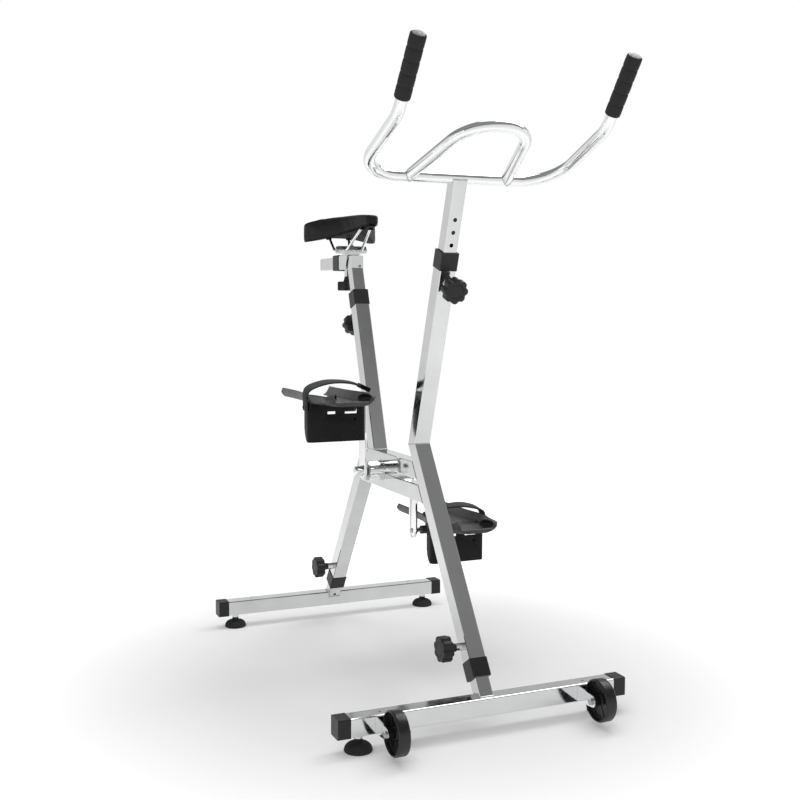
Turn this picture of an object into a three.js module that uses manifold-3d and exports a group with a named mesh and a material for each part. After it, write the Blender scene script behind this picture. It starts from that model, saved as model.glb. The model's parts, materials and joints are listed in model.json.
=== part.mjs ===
// Aqua bike: a stainless pool exercise bike with an X shaped frame of square tube.
// Millimetres, +Z up, the rider faces -Y, +X is the rider's left. The origin is on the floor,
// under the middle of the bike's box.

import * as THREE from "three";
import { mergeVertices } from "three/addons/utils/BufferGeometryUtils.js";
import Module from "manifold-3d";

const wasm = await Module();
wasm.setup();

// Clearances and tool lengths
const seat = 0.3; // left between pieces that touch
const slide = 0.3; // between an inner tube and the bore that it slides in
const running = 0.5; // round a shaft that turns
const overrun = 5; // how far a cut runs past what it cuts
const reach = 1000; // size of a block that cuts a whole side away

// Square tube
const tubeSide = 40;
const tubeWall = 3;
const tubeCorner = 2.5;
const innerWall = 2.5;
const tubeBore = tubeSide - 2 * tubeWall;
const innerSide = tubeBore - 2 * slide;
const tubeHalf = tubeSide / 2;

// Base: two stabilisers across the ends
const stabiliserLength = 691.8;
const stabiliserHeight = 56.8; // centre line above the floor
const stabiliserSpacing = 986; // between centre lines
const capLength = 28.6;
const capWall = 1;
const drainHole = 5; // diameter
const drainInset = 99.9; // from the stabiliser's end
const outwardShift = 3.6; // how far a leg's centre line passes outside the stabiliser's

// Levelling feet
const footInset = 51.9; // from the stabiliser's end
const footDiameter = 60;
const footHeight = 20;
const footRim = 5;
const footNeck = 17;
const studDiameter = 10;
const nutSide = 17;
const nutHeight = 8.5;
const studInside = 14; // length of stud above the tube's lower wall
const footDomeShares = [0.35, 0.75];

// Transport wheels in their forks
const wheelInset = 103.9; // from the stabiliser's end
const wheelDiameter = 94;
const wheelWidth = 26;
const wheelHeight = 58.3;
const wheelAhead = 60.3; // axle ahead of the stabiliser's front face
const treadDepth = 7;
const discWidth = 9;
const wheelHub = 24;
const treadRound = 3;
const boltDiameter = 8;
const forkPlate = 3;
const forkGap = 38;
const forkNose = 13; // radius round the axle
const forkTop = 17; // above the axle at the stabiliser
const forkBottom = 18; // below the axle at the stabiliser
const boltHead = 13;
const boltHeadHeight = 5.5;
const boltEndShare = 1.6; // of the head's height, past the fork

// Frame angles and the kinks where the legs meet the upper tubes
const legLean = THREE.MathUtils.degToRad(34);
const upperLean = THREE.MathUtils.degToRad(18.8);
const kinkHeight = 585;
const crossDrop = 42; // top of the upper cross tube, below the kinks
const crossGap = 12.7; // between the two cross tubes

// Collars over the ends of the outer tubes, and the bosses of their knobs
const collarLength = 41;
const collarWall = 1.4;
const collarLip = 6;
const collarCorner = 3;
const bossDiameter = 18;
const bossLength = 18;
const bossBore = 11;
const bossToCollar = 31;
const legBossToCollar = 33.5;
const legCollarPlace = 58; // along a leg, from the stabiliser
const legInside = 250;
const postCollarPlace = 439.6; // along the handlebar post, from the kink
const seatCollarPlace = 351; // along the seat tube, from the kink

// Knobs
const knobDiameter = 58.5;
const knobLobes = 8;
const knobScallop = 3.8;
const knobBody = 25;
const knobEdge = 2.5;
const knobHub = 25;
const knobHubLength = 14;
const knobPin = 10;

// Handlebar stem, bar, arch and grips
const stemHoleDiameter = 10;
const stemHolePitch = 29.2;
const stemHoleFirst = 17.5; // above the collar
const stemHolesShown = 3;
const stemHolesHidden = 3;
const stemInside = 250;
const barPlace = 645.5; // along the handlebar post, from the kink
const barDiameter = 25;
const barWall = 2;
const barHalfWidth = 237.5;
const barForward = 220.8;
const barRise = 88.8;
const barBend = 93;
const handleForward = 96.4;
const handleRise = 127.4;
const handleBend = 78;
const archHalfWidth = 119.4;
const archShoulder = 71.1;
const archForward = 203.5;
const archRise = 83;
const archBend = 83.5;
const gripDiameter = 33;
const gripLength = 130;
const gripGroove = 1.3;
const gripRings = 5;
const gripEnd = 4;
const gripRound = 2.5;

// Seat post and the slider that carries the saddle
const postInside = 240;
const armRise = 452.5; // centre line of the arm, above the kinks
const armLength = 261;
const armPlate = 3;
const armHole = 8;
const armHoleSide = 6; // to the rider's left
const armHoleDrop = 12; // below the arm's centre line
const sliderGap = 26; // from the arm's front end to the slider's upper front edge
const sliderSlant = 16;
const sliderLength = 113;
const sliderPlateThick = 4;
const sliderPlateLength = 44;
const sliderPlateWidth = 36;
const sliderPlatePlace = 27; // ahead of it, from the arm's front end
const sliderBossPlace = 77;

// Crank
const crankAhead = -52.6; // the axle sits behind the frame's middle
const crankLength = 165;
const shellDiameter = 50;
const shellLength = 116;
const shellBore = 36;
const cupFlange = 3;
const axleDiameter = 17;
const armInnerFace = 66;
const armThick = 8;
const armWidth = 38;
const hubDiameter = 26;
const hubReach = 96;
const hubWall = 5;
const hubDomeShares = [0.45, 0.8];

// Pedals, measured from the spindle and from the bike's middle
const spindleDiameter = 12;
const spindleHead = 3;
const spindleCollar = 19;
const spindleCollarLength = 5;
const pedalMiddle = 165;
const trayLength = 358;
const trayWidth = 127;
const trayBottom = 22;
const trayTop = 42.3;
const trayWall = 4;
const trayFlare = 8;
const heelStart = 70;
const housingDiameter = 22;
const housingStart = 82;
const ribThick = 4;
const ribSpread = 30;
const toeDip = 13; // how far the toe wall drops between its lobes
const toeDipHalf = 34; // half its width at the top
const toeDipSlope = 12;
const toeMouth = 26; // width of the mouth through a lobe
const toeMouthHigh = 11;
const scoopWidth = 151;
const scoopAhead = 73.5;
const scoopDepth = 32;
const scoopDrop = 77;
const scoopWall = 3;
const scoopCorner = 12;
const scoopSlotHeight = 7;
const scoopSlotDrop = 4;
const scoopNotch = 7; // side of the notch over a slot's outer end
const scoopHole = 5;
const scoopHoleOut = 46; // from the pedal's middle
const scoopHoleDrop = 25; // below the spindle
const strapWidth = 30;
const strapThick = 5;
const strapEnd = 1.5;
const strapTop = 70.5;
const strapTip = 78;

// Saddle
const saddleLength = 290;
const saddleWidth = 214;
const saddleNose = 119; // nose ahead of the arm's front end
const saddleNoseThick = 27;
const saddleRise = 115.5; // top of the nose, above the arm's centre line
const saddleFall = 11; // from nose to rear
const saddlePan = 5;
const saddlePanInset = 7;
const railDiameter = 7.5;
const railSpread = 22;
const railNoseSpread = 12;
const railRearSpread = 30;
const railNosePlace = -69; // from the arm's front end
const railFrontBend = 22;
const railRearBend = 122;
const railRearPlace = 148;
const railBend = 9;
const railEndShare = 0.8; // of the radius: how far a slanted end reaches above its centre
const clampWidth = 80;
const clampHeight = 19;
const clampLength = 30;
const clampGap = 3; // between the clamp's two plates
const clampCore = 24; // width of what joins them

// Facets
const cornerSteps = 1;
const roundSteps = 20;
const smallSteps = 12;
const barSteps = 6; // in a half turn
const railSteps = 4; // in a half turn
const archSteps = 5; // in a half turn of an outline
const bendSteps = 4;
const holeSteps = 8;
const footSteps = 14;
const hexSides = 6;
const curveSteps = 4;
const strapSteps = 18;

// Finishes
const finishes = {
  steel: { color: 0xd4d8d8, metalness: 1, roughness: 0.16 },
  bright: { color: 0xe2e5e6, metalness: 1, roughness: 0.1 },
  black: { color: 0x1f2021, metalness: 0, roughness: 0.5 },
  tray: { color: 0x3a3c3d, metalness: 0, roughness: 0.45 },
  grip: { color: 0x242526, metalness: 0, roughness: 0.85 },
  rubber: { color: 0x171818, metalness: 0, roughness: 0.7 },
  saddle: { color: 0x26282a, metalness: 0, roughness: 0.6 },
};

// Solids: closed meshes that are joined and cut

const weld = 1e-3;

function asSolid(geometry) {
  const bare = new THREE.BufferGeometry();
  bare.setAttribute("position", geometry.getAttribute("position").clone());
  bare.setIndex(geometry.index);
  const merged = mergeVertices(bare, weld);
  const vertProperties = merged.attributes.position.array;
  const triVerts = new Uint32Array(merged.index.array);
  return new wasm.Manifold(new wasm.Mesh({ numProp: 3, vertProperties, triVerts }));
}

function asGeometry(body) {
  const mesh = body.getMesh();
  const geometry = new THREE.BufferGeometry();
  geometry.setAttribute("position", new THREE.BufferAttribute(mesh.vertProperties, 3));
  geometry.setIndex(new THREE.BufferAttribute(mesh.triVerts, 1));
  const faceted = geometry.toNonIndexed();
  faceted.computeVertexNormals();
  return faceted;
}

function cut(body, ...tools) {
  return asGeometry(tools.reduce((left, tool) => left.subtract(asSolid(tool)), asSolid(body)));
}

function join(first, ...others) {
  return asGeometry(others.reduce((sum, other) => sum.add(asSolid(other)), asSolid(first)));
}

function clip(body, keep) {
  return asGeometry(asSolid(body).intersect(asSolid(keep)));
}

// Shapes: outlines and the solids made from them

const alongX = new THREE.Matrix4().makeBasis(
  new THREE.Vector3(0, 1, 0),
  new THREE.Vector3(0, 0, 1),
  new THREE.Vector3(1, 0, 0),
);
const alongY = new THREE.Matrix4().makeBasis(
  new THREE.Vector3(0, 0, 1),
  new THREE.Vector3(1, 0, 0),
  new THREE.Vector3(0, 1, 0),
);

function squareOutline(side, corner) {
  const half = side / 2;
  const shape = new THREE.Shape();
  if (corner === 0) {
    shape.moveTo(half, -half);
    shape.lineTo(half, half);
    shape.lineTo(-half, half);
    shape.lineTo(-half, -half);
    return shape;
  }
  const flat = half - corner;
  shape.absarc(flat, flat, corner, 0, Math.PI / 2);
  shape.absarc(-flat, flat, corner, Math.PI / 2, Math.PI);
  shape.absarc(-flat, -flat, corner, Math.PI, 1.5 * Math.PI);
  shape.absarc(flat, -flat, corner, 1.5 * Math.PI, 2 * Math.PI);
  return shape;
}

function prism(shape, from, to, steps = cornerSteps) {
  const options = { depth: to - from, bevelEnabled: false, curveSegments: steps };
  return new THREE.ExtrudeGeometry(shape, options).translate(0, 0, from);
}

// An outline drawn in the side view, y across and z up, made solid across the bike
function sideProfile(shape, from, to, steps = cornerSteps) {
  return prism(shape, from, to, steps).applyMatrix4(alongX);
}

function squareTube(side, corner, bore, from, to) {
  const body = prism(squareOutline(side, corner), from, to);
  return cut(body, prism(squareOutline(bore, 0), from - overrun, to + overrun));
}

function block(xFrom, xTo, yFrom, yTo, zFrom, zTo) {
  const box = new THREE.BoxGeometry(xTo - xFrom, yTo - yFrom, zTo - zFrom);
  return box.translate((xFrom + xTo) / 2, (yFrom + yTo) / 2, (zFrom + zTo) / 2);
}

// A round bar on the z axis
function rod(diameter, from, to, steps = smallSteps) {
  const bar = new THREE.CylinderGeometry(diameter / 2, diameter / 2, to - from, steps);
  return bar.rotateX(Math.PI / 2).translate(0, 0, (from + to) / 2);
}

// The diameter across the corners of a faceted bore whose flats clear a round piece
function roundBore(clear, sides) {
  return clear / Math.cos(Math.PI / sides);
}

// A turned piece on the z axis, from points of radius and height
function turned(points, steps = roundSteps) {
  const profile = points.map(([radius, height]) => new THREE.Vector2(radius, height));
  return new THREE.LatheGeometry(profile, steps).rotateX(Math.PI / 2);
}

// Bars bent from straights and arcs, with one step along each straight

class BentPath extends THREE.CurvePath {
  constructor(corners, radii, arcSteps = bendSteps) {
    super();
    let start = corners[0];
    for (let i = 1; i < corners.length - 1; i += 1) {
      const before = corners[i - 1].clone().sub(corners[i]).normalize();
      const after = corners[i + 1].clone().sub(corners[i]).normalize();
      const half = before.angleTo(after) / 2;
      const back = radii[i - 1] / Math.tan(half);
      const into = corners[i].clone().addScaledVector(before, back);
      const out = corners[i].clone().addScaledVector(after, back);
      this.add(new THREE.LineCurve3(start, into));
      this.add(new BendArc(into, corners[i], out, radii[i - 1]));
      start = out;
    }
    this.add(new THREE.LineCurve3(start, corners[corners.length - 1]));
    this.stations = this.curves.flatMap((curve, i) => {
      const steps = curve instanceof BendArc ? arcSteps : 1;
      return Array.from({ length: steps }, (_, k) => ({ curve: i, t: (k + 1) / steps }));
    });
    this.stations.unshift({ curve: 0, t: 0 });
  }

  get steps() {
    return this.stations.length - 1;
  }

  // Stations are evenly numbered, whatever the length between them
  getUtoTmapping(u) {
    return u;
  }

  getPoint(u, target = new THREE.Vector3()) {
    const place = Math.min(u * this.steps, this.steps - weld);
    const first = Math.floor(place);
    const from = this.stations[first];
    const to = this.stations[first + 1];
    const start = from.curve === to.curve ? from.t : 0;
    return this.curves[to.curve].getPoint(THREE.MathUtils.lerp(start, to.t, place - first), target);
  }

  getSpacedPoints(count) {
    return this.stations.map(({ curve, t }) => this.curves[curve].getPoint(t)).slice(0, count + 1);
  }
}

class BendArc extends THREE.Curve {
  constructor(from, corner, to, radius) {
    super();
    const before = from.clone().sub(corner).normalize();
    const after = to.clone().sub(corner).normalize();
    const inward = before.clone().add(after).normalize();
    const half = before.angleTo(after) / 2;
    this.centre = corner.clone().addScaledVector(inward, radius / Math.sin(half));
    this.from = from.clone().sub(this.centre);
    this.axis = this.from.clone().cross(to.clone().sub(this.centre)).normalize();
    this.turn = Math.PI - 2 * half;
  }

  getPoint(t, target = new THREE.Vector3()) {
    return target.copy(this.from).applyAxisAngle(this.axis, t * this.turn).add(this.centre);
  }
}

function circle(diameter) {
  return new THREE.Shape().absarc(0, 0, diameter / 2, 0, 2 * Math.PI);
}

function bentBar(path, diameter, bore, steps) {
  const shape = circle(diameter);
  if (bore > 0) shape.holes.push(circle(bore));
  const options = { steps: path.steps, extrudePath: path, curveSegments: steps };
  return new THREE.ExtrudeGeometry(shape, options);
}

// A closed skin over rings of points that follow one another
function loft(rings) {
  const count = rings[0].length;
  const middle = (ring) => ring.reduce((sum, p) => sum.add(p), new THREE.Vector3()).divideScalar(count);
  const points = [...rings.flat(), middle(rings[0]), middle(rings[rings.length - 1])];
  const index = [];
  rings.slice(1).forEach((_, row) => {
    for (let i = 0; i < count; i += 1) {
      const next = (i + 1) % count;
      const [a, b] = [row * count + i, row * count + next];
      index.push(a, b, b + count, a, b + count, a + count);
    }
  });
  const last = (rings.length - 1) * count;
  for (let i = 0; i < count; i += 1) {
    const next = (i + 1) % count;
    index.push(points.length - 2, next, i);
    index.push(points.length - 1, last + i, last + next);
  }
  return new THREE.BufferGeometry().setFromPoints(points).setIndex(index);
}

// Sub-assemblies hang in groups, each with its own axes
const bike = new THREE.Group();

function part(home, name, finish, geometry) {
  const mesh = new THREE.Mesh(geometry, new THREE.MeshStandardMaterial(finishes[finish]));
  mesh.name = name;
  mesh.geometry.computeVertexNormals();
  home.add(mesh);
  return mesh;
}

function groupAt(home, x, y, z, lean = 0) {
  const group = new THREE.Group();
  group.position.set(x, y, z);
  group.rotation.x = lean;
  home.add(group);
  bike.updateMatrixWorld(true);
  return group;
}

// A tool drawn in one group's axes, taken into another's
function carried(geometry, from, to) {
  const matrix = to.matrixWorld.clone().invert().multiply(from.matrixWorld);
  return geometry.clone().applyMatrix4(matrix);
}

// Where the frame's centre lines run, in the side view
const footReach = stabiliserSpacing / 2 + outwardShift;
const kinkReach = footReach - (kinkHeight - stabiliserHeight) * Math.tan(legLean);
const legSpan = (kinkHeight - stabiliserHeight) / Math.cos(legLean);
const crossTop = kinkHeight - crossDrop;
const crossUpper = crossTop - tubeHalf;
const crossLower = crossUpper - tubeSide - crossGap;
const crankHeight = (crossUpper + crossLower) / 2;

const frontLeg = groupAt(bike, 0, -footReach, stabiliserHeight, -legLean);
const rearLeg = groupAt(bike, 0, footReach, stabiliserHeight, legLean);
const post = groupAt(bike, 0, -kinkReach, kinkHeight, upperLean);
const seatTube = groupAt(bike, 0, kinkReach, kinkHeight, -upperLean);
const frontMitre = groupAt(bike, 0, -kinkReach, kinkHeight, (upperLean - legLean) / 2);
const crank = groupAt(bike, 0, -crankAhead, crankHeight);

// A threaded boss on a tube's face, with its bore through the wall. The direction is a unit step.
function withBoss(tube, along, direction) {
  const face = tubeHalf - tubeWall / 2;
  const turn = new THREE.Matrix4().makeRotationFromQuaternion(
    new THREE.Quaternion().setFromUnitVectors(new THREE.Vector3(0, 0, 1), direction),
  );
  const ring = rod(bossDiameter, face, tubeHalf + bossLength).applyMatrix4(turn).translate(0, 0, along);
  const bore = rod(bossBore, innerSide / 2 - overrun, tubeHalf + bossLength + overrun);
  return cut(join(tube, ring), bore.applyMatrix4(turn).translate(0, 0, along));
}

// The knob stands on a boss: local z runs out of the tube, from the tube's centre line
function knob() {
  const shape = new THREE.Shape();
  const points = 4 * knobLobes;
  for (let i = 0; i < points; i += 1) {
    const angle = (2 * Math.PI * i) / points;
    const dip = (knobScallop / 2) * (1 - Math.cos(knobLobes * angle));
    const radius = knobDiameter / 2 - knobEdge - dip;
    if (i === 0) shape.moveTo(radius * Math.cos(angle), radius * Math.sin(angle));
    else shape.lineTo(radius * Math.cos(angle), radius * Math.sin(angle));
  }
  const bossEnd = tubeHalf + bossLength + seat;
  const bodyStart = bossEnd + knobHubLength;
  const head = new THREE.ExtrudeGeometry(shape, {
    depth: knobBody - 2 * knobEdge,
    bevelThickness: knobEdge,
    bevelSize: knobEdge,
    bevelSegments: 1,
  }).translate(0, 0, bodyStart + knobEdge);
  const hub = turned(
    [
      [0, innerSide / 2 + slide],
      [knobPin / 2, innerSide / 2 + slide],
      [knobPin / 2, bossEnd],
      [bossDiameter / 2, bossEnd],
      [knobHub / 2, bodyStart + knobEdge],
      [0, bodyStart + knobEdge],
    ],
    smallSteps,
  );
  return join(head, hub);
}

function placeKnob(home, name, along, direction) {
  const mesh = part(home, name, "black", knob());
  mesh.position.set(0, 0, along);
  mesh.quaternion.setFromUnitVectors(new THREE.Vector3(0, 0, 1), direction);
  return mesh;
}

// The collar over a tube's end: local z points out of the tube, from the collar's first edge
function collar() {
  const outer = tubeSide + 2 * (seat + collarWall);
  const body = squareTube(outer, collarCorner, tubeBore, 0, collarLength);
  const pocket = tubeSide / 2 + seat;
  return cut(body, block(-pocket, pocket, -pocket, pocket, -overrun, collarLength - collarLip));
}

const tubeEndInCollar = collarLength - collarLip - seat;
const leftSide = new THREE.Vector3(-1, 0, 0);
const forward = new THREE.Vector3(0, -1, 0);
const rearward = new THREE.Vector3(0, 1, 0);

// Legs: an outer tube from the collar to the kink
function outerLeg(home, name, trims) {
  const start = legCollarPlace + collarLip + seat;
  const boss = legCollarPlace + collarLength + legBossToCollar;
  const tube = squareTube(tubeSide, tubeCorner, tubeBore, start, legSpan + tubeSide);
  part(home, `${name}_upper`, "steel", withBoss(cut(tube, ...trims), boss, leftSide));
  const cap = part(home, `${name}_collar`, "black", collar());
  cap.position.z = legCollarPlace + collarLength;
  cap.rotation.x = Math.PI;
  placeKnob(home, `${name}_knob`, boss, leftSide);
}

const aboveMitre = block(-reach, reach, -reach, reach, -seat / 2, reach);
const belowMitre = block(-reach, reach, -reach, reach, -reach, seat / 2);
const beforeSeatTube = block(-reach, reach, -reach, tubeHalf + seat, -reach, reach);
outerLeg(frontLeg, "front_leg", [carried(aboveMitre, frontMitre, frontLeg)]);
outerLeg(rearLeg, "rear_leg", [carried(beforeSeatTube, seatTube, rearLeg)]);

// Handlebar post and seat tube
const postLength = postCollarPlace + tubeEndInCollar;
const postBoss = postCollarPlace - bossToCollar;
const postTube = squareTube(tubeSide, tubeCorner, tubeBore, -tubeSide, postLength);
const mitredPost = cut(postTube, carried(belowMitre, frontMitre, post));
part(post, "handlebar_post", "steel", withBoss(mitredPost, postBoss, forward));
part(post, "handlebar_post_collar", "black", collar()).position.z = postCollarPlace;
placeKnob(post, "handlebar_knob", postBoss, forward);

const seatBoss = seatCollarPlace - bossToCollar;
const seatTubeLength = seatCollarPlace + tubeEndInCollar;
const belowCross = block(-reach, reach, -reach, reach, -reach, crossTop + seat);
const rawSeatTube = squareTube(tubeSide, tubeCorner, tubeBore, -3 * tubeSide, seatTubeLength);
const footedSeatTube = cut(rawSeatTube, carried(belowCross, bike, seatTube));
part(seatTube, "seat_tube", "steel", withBoss(footedSeatTube, seatBoss, rearward));
part(seatTube, "seat_tube_collar", "black", collar()).position.z = seatCollarPlace;
placeKnob(seatTube, "seat_post_knob", seatBoss, rearward);

// Cross tubes, cut to the legs and round the bottom bracket shell
function crossTube(name, height) {
  const tube = squareTube(tubeSide, tubeCorner, tubeBore, -footReach, footReach);
  const level = tube.applyMatrix4(alongY).translate(0, 0, height);
  const inside = tubeHalf + seat;
  const frontSide = carried(block(-reach, reach, -reach, inside, -reach, reach), frontLeg, bike);
  const rearSide = carried(block(-reach, reach, -inside, reach, -reach, reach), rearLeg, bike);
  const shell = rod(shellDiameter + 2 * seat, -reach, reach, roundSteps).rotateY(Math.PI / 2);
  const shellCut = shell.translate(0, -crankAhead, crankHeight);
  part(bike, name, "steel", cut(level, frontSide, rearSide, shellCut));
}
crossTube("upper_cross_tube", crossUpper);
crossTube("lower_cross_tube", crossLower);

// Inner legs: each runs down over its stabiliser
function innerLeg(home, name, end) {
  const start = -2 * tubeSide;
  const stop = legCollarPlace + legInside;
  const tube = squareTube(innerSide, tubeCorner, innerSide - 2 * innerWall, start, stop);
  const half = tubeHalf + seat;
  const line = end * (stabiliserSpacing / 2);
  const bar = block(-reach, reach, line - half, line + half, stabiliserHeight - half, stabiliserHeight + half);
  const outside = line - end * half;
  const ends = [outside, outside + end * reach].sort((a, b) => a - b);
  const beyond = block(-reach, reach, ends[0], ends[1], -reach, stabiliserHeight + half);
  const tools = [bar, beyond].map((tool) => carried(tool, bike, home));
  part(home, `${name}_lower`, "steel", cut(tube, ...tools));
}
innerLeg(frontLeg, "front_leg", -1);
innerLeg(rearLeg, "rear_leg", 1);

// Stabilisers with their end caps and levelling feet
const footPlace = stabiliserLength / 2 - footInset;
const drainPlace = stabiliserLength / 2 - drainInset;
const wheelPlace = stabiliserLength / 2 - wheelInset;

function stabiliser(name, end) {
  const home = groupAt(bike, 0, (end * stabiliserSpacing) / 2, 0);
  const half = stabiliserLength / 2 - capWall - seat;
  const tube = squareTube(tubeSide, tubeCorner, tubeBore, -half, half).applyMatrix4(alongX);
  const level = tube.translate(0, 0, stabiliserHeight);
  const under = stabiliserHeight - tubeHalf;
  const nuts = [-1, 1].map((side) => {
    const nut = rod(roundBore(nutSide, hexSides), under - nutHeight, under + tubeWall / 2, hexSides);
    return nut.translate(side * footPlace, 0, 0);
  });
  const holes = [-1, 1].flatMap((side) => [
    rod(studDiameter + 2 * running, 0, stabiliserHeight).translate(side * footPlace, 0, 0),
    rod(drainHole, stabiliserHeight, stabiliserHeight + tubeSide).translate(side * drainPlace, 0, 0),
  ]);
  part(home, `${name}_stabiliser`, "steel", cut(join(level, ...nuts), ...holes));
  for (const side of [-1, 1]) {
    const hand = side < 0 ? "right" : "left";
    const cap = part(home, `${name}_${hand}_end_cap`, "black", endCap());
    cap.position.set((side * stabiliserLength) / 2, 0, stabiliserHeight);
    cap.rotation.y = side < 0 ? Math.PI : 0;
    part(home, `${name}_${hand}_foot`, "rubber", levellingFoot()).position.x = side * footPlace;
  }
  return home;
}

function endCap() {
  const outer = tubeSide + 2 * (seat + capWall);
  const pocket = tubeHalf + seat;
  const body = prism(squareOutline(outer, collarCorner), -capLength, 0).applyMatrix4(alongX);
  return cut(body, block(-capLength - overrun, -capWall, -pocket, pocket, -pocket, pocket));
}

function levellingFoot() {
  const nutBottom = stabiliserHeight - tubeHalf - nutHeight;
  const studTop = stabiliserHeight - tubeHalf + tubeWall + studInside;
  const rise = footHeight - footRim;
  const spread = (footDiameter - footNeck) / 2;
  const dome = footDomeShares.map((share) => [
    footNeck / 2 + spread * Math.sqrt(1 - share * share),
    footRim + rise * share,
  ]);
  return turned([
    [0, 0],
    [footDiameter / 2 - footRim / 2, 0],
    [footDiameter / 2, footRim / 2],
    [footDiameter / 2, footRim],
    ...dome,
    [footNeck / 2, footHeight],
    [footNeck / 2, nutBottom - seat],
    [studDiameter / 2, nutBottom - seat],
    [studDiameter / 2, studTop],
    [0, studTop],
  ], footSteps);
}

const frontBase = stabiliser("front", -1);
stabiliser("rear", 1);

// Transport wheels: each turns on a bolt between two cheeks
function transportWheel(side) {
  const hand = side < 0 ? "right" : "left";
  const home = groupAt(frontBase, side * wheelPlace, -tubeHalf - wheelAhead, wheelHeight);
  part(home, `${hand}_wheel_fork`, "bright", wheelFork());
  part(home, `${hand}_wheel`, "rubber", wheel().rotateY(Math.PI / 2));
  part(home, `${hand}_wheel_bolt`, "bright", wheelBolt().rotateY(Math.PI / 2));
}

function wheelFork() {
  const web = wheelAhead - seat;
  const cheek = new THREE.Shape();
  cheek.moveTo(web, -forkBottom);
  cheek.lineTo(web, forkTop);
  cheek.absarc(0, 0, forkNose, Math.PI / 2, 1.5 * Math.PI);
  const outer = forkGap / 2 + forkPlate;
  const body = sideProfile(cheek, -outer, outer, archSteps);
  const throat = block(-forkGap / 2, forkGap / 2, -reach, web - forkPlate, -reach, reach);
  const bore = rod(boltDiameter + 2 * seat, -outer - overrun, outer + overrun).rotateY(Math.PI / 2);
  return cut(body, throat, bore);
}

function wheel() {
  const tread = wheelDiameter / 2;
  const bore = boltDiameter / 2 + running;
  const hub = forkGap / 2 - running;
  const half = [
    [bore, hub],
    [wheelHub / 2, hub],
    [wheelHub / 2 + treadRound, discWidth / 2],
    [tread - treadDepth - treadRound, discWidth / 2],
    [tread - treadDepth, wheelWidth / 2],
    [tread - treadRound, wheelWidth / 2],
    [tread, wheelWidth / 2 - treadRound],
  ];
  const other = half.map(([radius, height]) => [radius, -height]).reverse();
  return turned([...half, ...other, half[0]].reverse());
}

function wheelBolt() {
  const face = forkGap / 2 + forkPlate + seat;
  const shank = rod(boltDiameter, -face - boltHeadHeight, face + boltEndShare * boltHeadHeight);
  const head = rod(boltHead, -face - boltHeadHeight, -face, hexSides);
  const nut = rod(boltHead, face, face + boltHeadHeight, hexSides);
  return join(shank, head, nut);
}

transportWheel(-1);
transportWheel(1);

// Handlebar: the stem in the post, the bar and the arch on top of it
const stemTop = barPlace;
const collarTop = postCollarPlace + collarLength;
const stemTube = squareTube(innerSide, tubeCorner, innerSide - 2 * innerWall, collarTop - stemInside, stemTop);
const holeCount = stemHolesShown + stemHolesHidden;
const stemHoles = Array.from({ length: holeCount }, (_, i) => {
  const along = collarTop + stemHoleFirst + (i - stemHolesHidden) * stemHolePitch;
  return rod(stemHoleDiameter, 0, reach, holeSteps).rotateX(Math.PI / 2).translate(0, 0, along);
});
const barSeat = rod(barDiameter + 2 * seat, -tubeSide, tubeSide, roundSteps).rotateY(Math.PI / 2);
part(post, "handlebar_stem", "steel", cut(stemTube, barSeat.translate(0, 0, barPlace), ...stemHoles));

// The bar and the arch keep level axes, so they hang in a group of their own on the post's line
const barHome = groupAt(
  bike,
  0,
  -kinkReach - barPlace * Math.sin(upperLean),
  kinkHeight + barPlace * Math.cos(upperLean),
);
const handleEnd = new THREE.Vector3(barHalfWidth, -barForward - handleForward, barRise + handleRise);
const mirrored = (point) => new THREE.Vector3(-point.x, point.y, point.z);
const barCorners = [
  handleEnd,
  new THREE.Vector3(barHalfWidth, -barForward, barRise),
  new THREE.Vector3(barHalfWidth, 0, 0),
];
const barPath = new BentPath(
  [...barCorners, ...barCorners.map(mirrored).reverse()],
  [handleBend, barBend, barBend, handleBend],
);
part(barHome, "handlebar_bar", "bright", bentBar(barPath, barDiameter, barDiameter - 2 * barWall, barSteps));

const archCorners = [
  new THREE.Vector3(archHalfWidth, 0, 0),
  new THREE.Vector3(archShoulder, -archForward, archRise),
];
const archPath = new BentPath([...archCorners, ...archCorners.map(mirrored).reverse()], [archBend, archBend]);
const archBar = bentBar(archPath, barDiameter, barDiameter - 2 * barWall, barSteps);
const archFoot = rod(barDiameter + 2 * seat, -reach, reach, roundSteps).rotateY(Math.PI / 2);
part(barHome, "handlebar_arch", "bright", cut(archBar, archFoot));

// Grips: a sleeve with rings, closed at the end of the bar
function grip() {
  const outer = gripDiameter / 2;
  const bore = roundBore(barDiameter + 2 * seat, 2 * barSteps) / 2;
  const ring = gripLength / gripRings;
  const profile = [
    [0, gripEnd],
    [0, seat],
    [bore, seat],
    [bore, -gripLength + gripEnd],
    [outer - gripRound, -gripLength + gripEnd],
  ];
  for (let i = gripRings; i > 0; i -= 1) {
    const low = gripEnd - i * ring;
    if (i < gripRings) profile.push([outer - gripGroove, low]);
    profile.push([outer, low + gripGroove]);
    profile.push([outer, low + ring - gripGroove]);
  }
  profile.push([outer - gripRound, gripEnd]);
  profile.push([0, gripEnd]);
  return turned(profile, 2 * barSteps);
}

const handleDirection = handleEnd.clone().sub(barCorners[1]).normalize();
for (const side of [-1, 1]) {
  const sleeve = part(barHome, side < 0 ? "right_grip" : "left_grip", "grip", grip());
  sleeve.position.set(side * handleEnd.x, handleEnd.y, handleEnd.z);
  sleeve.quaternion.setFromUnitVectors(new THREE.Vector3(0, 0, 1), handleDirection);
}

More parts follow.
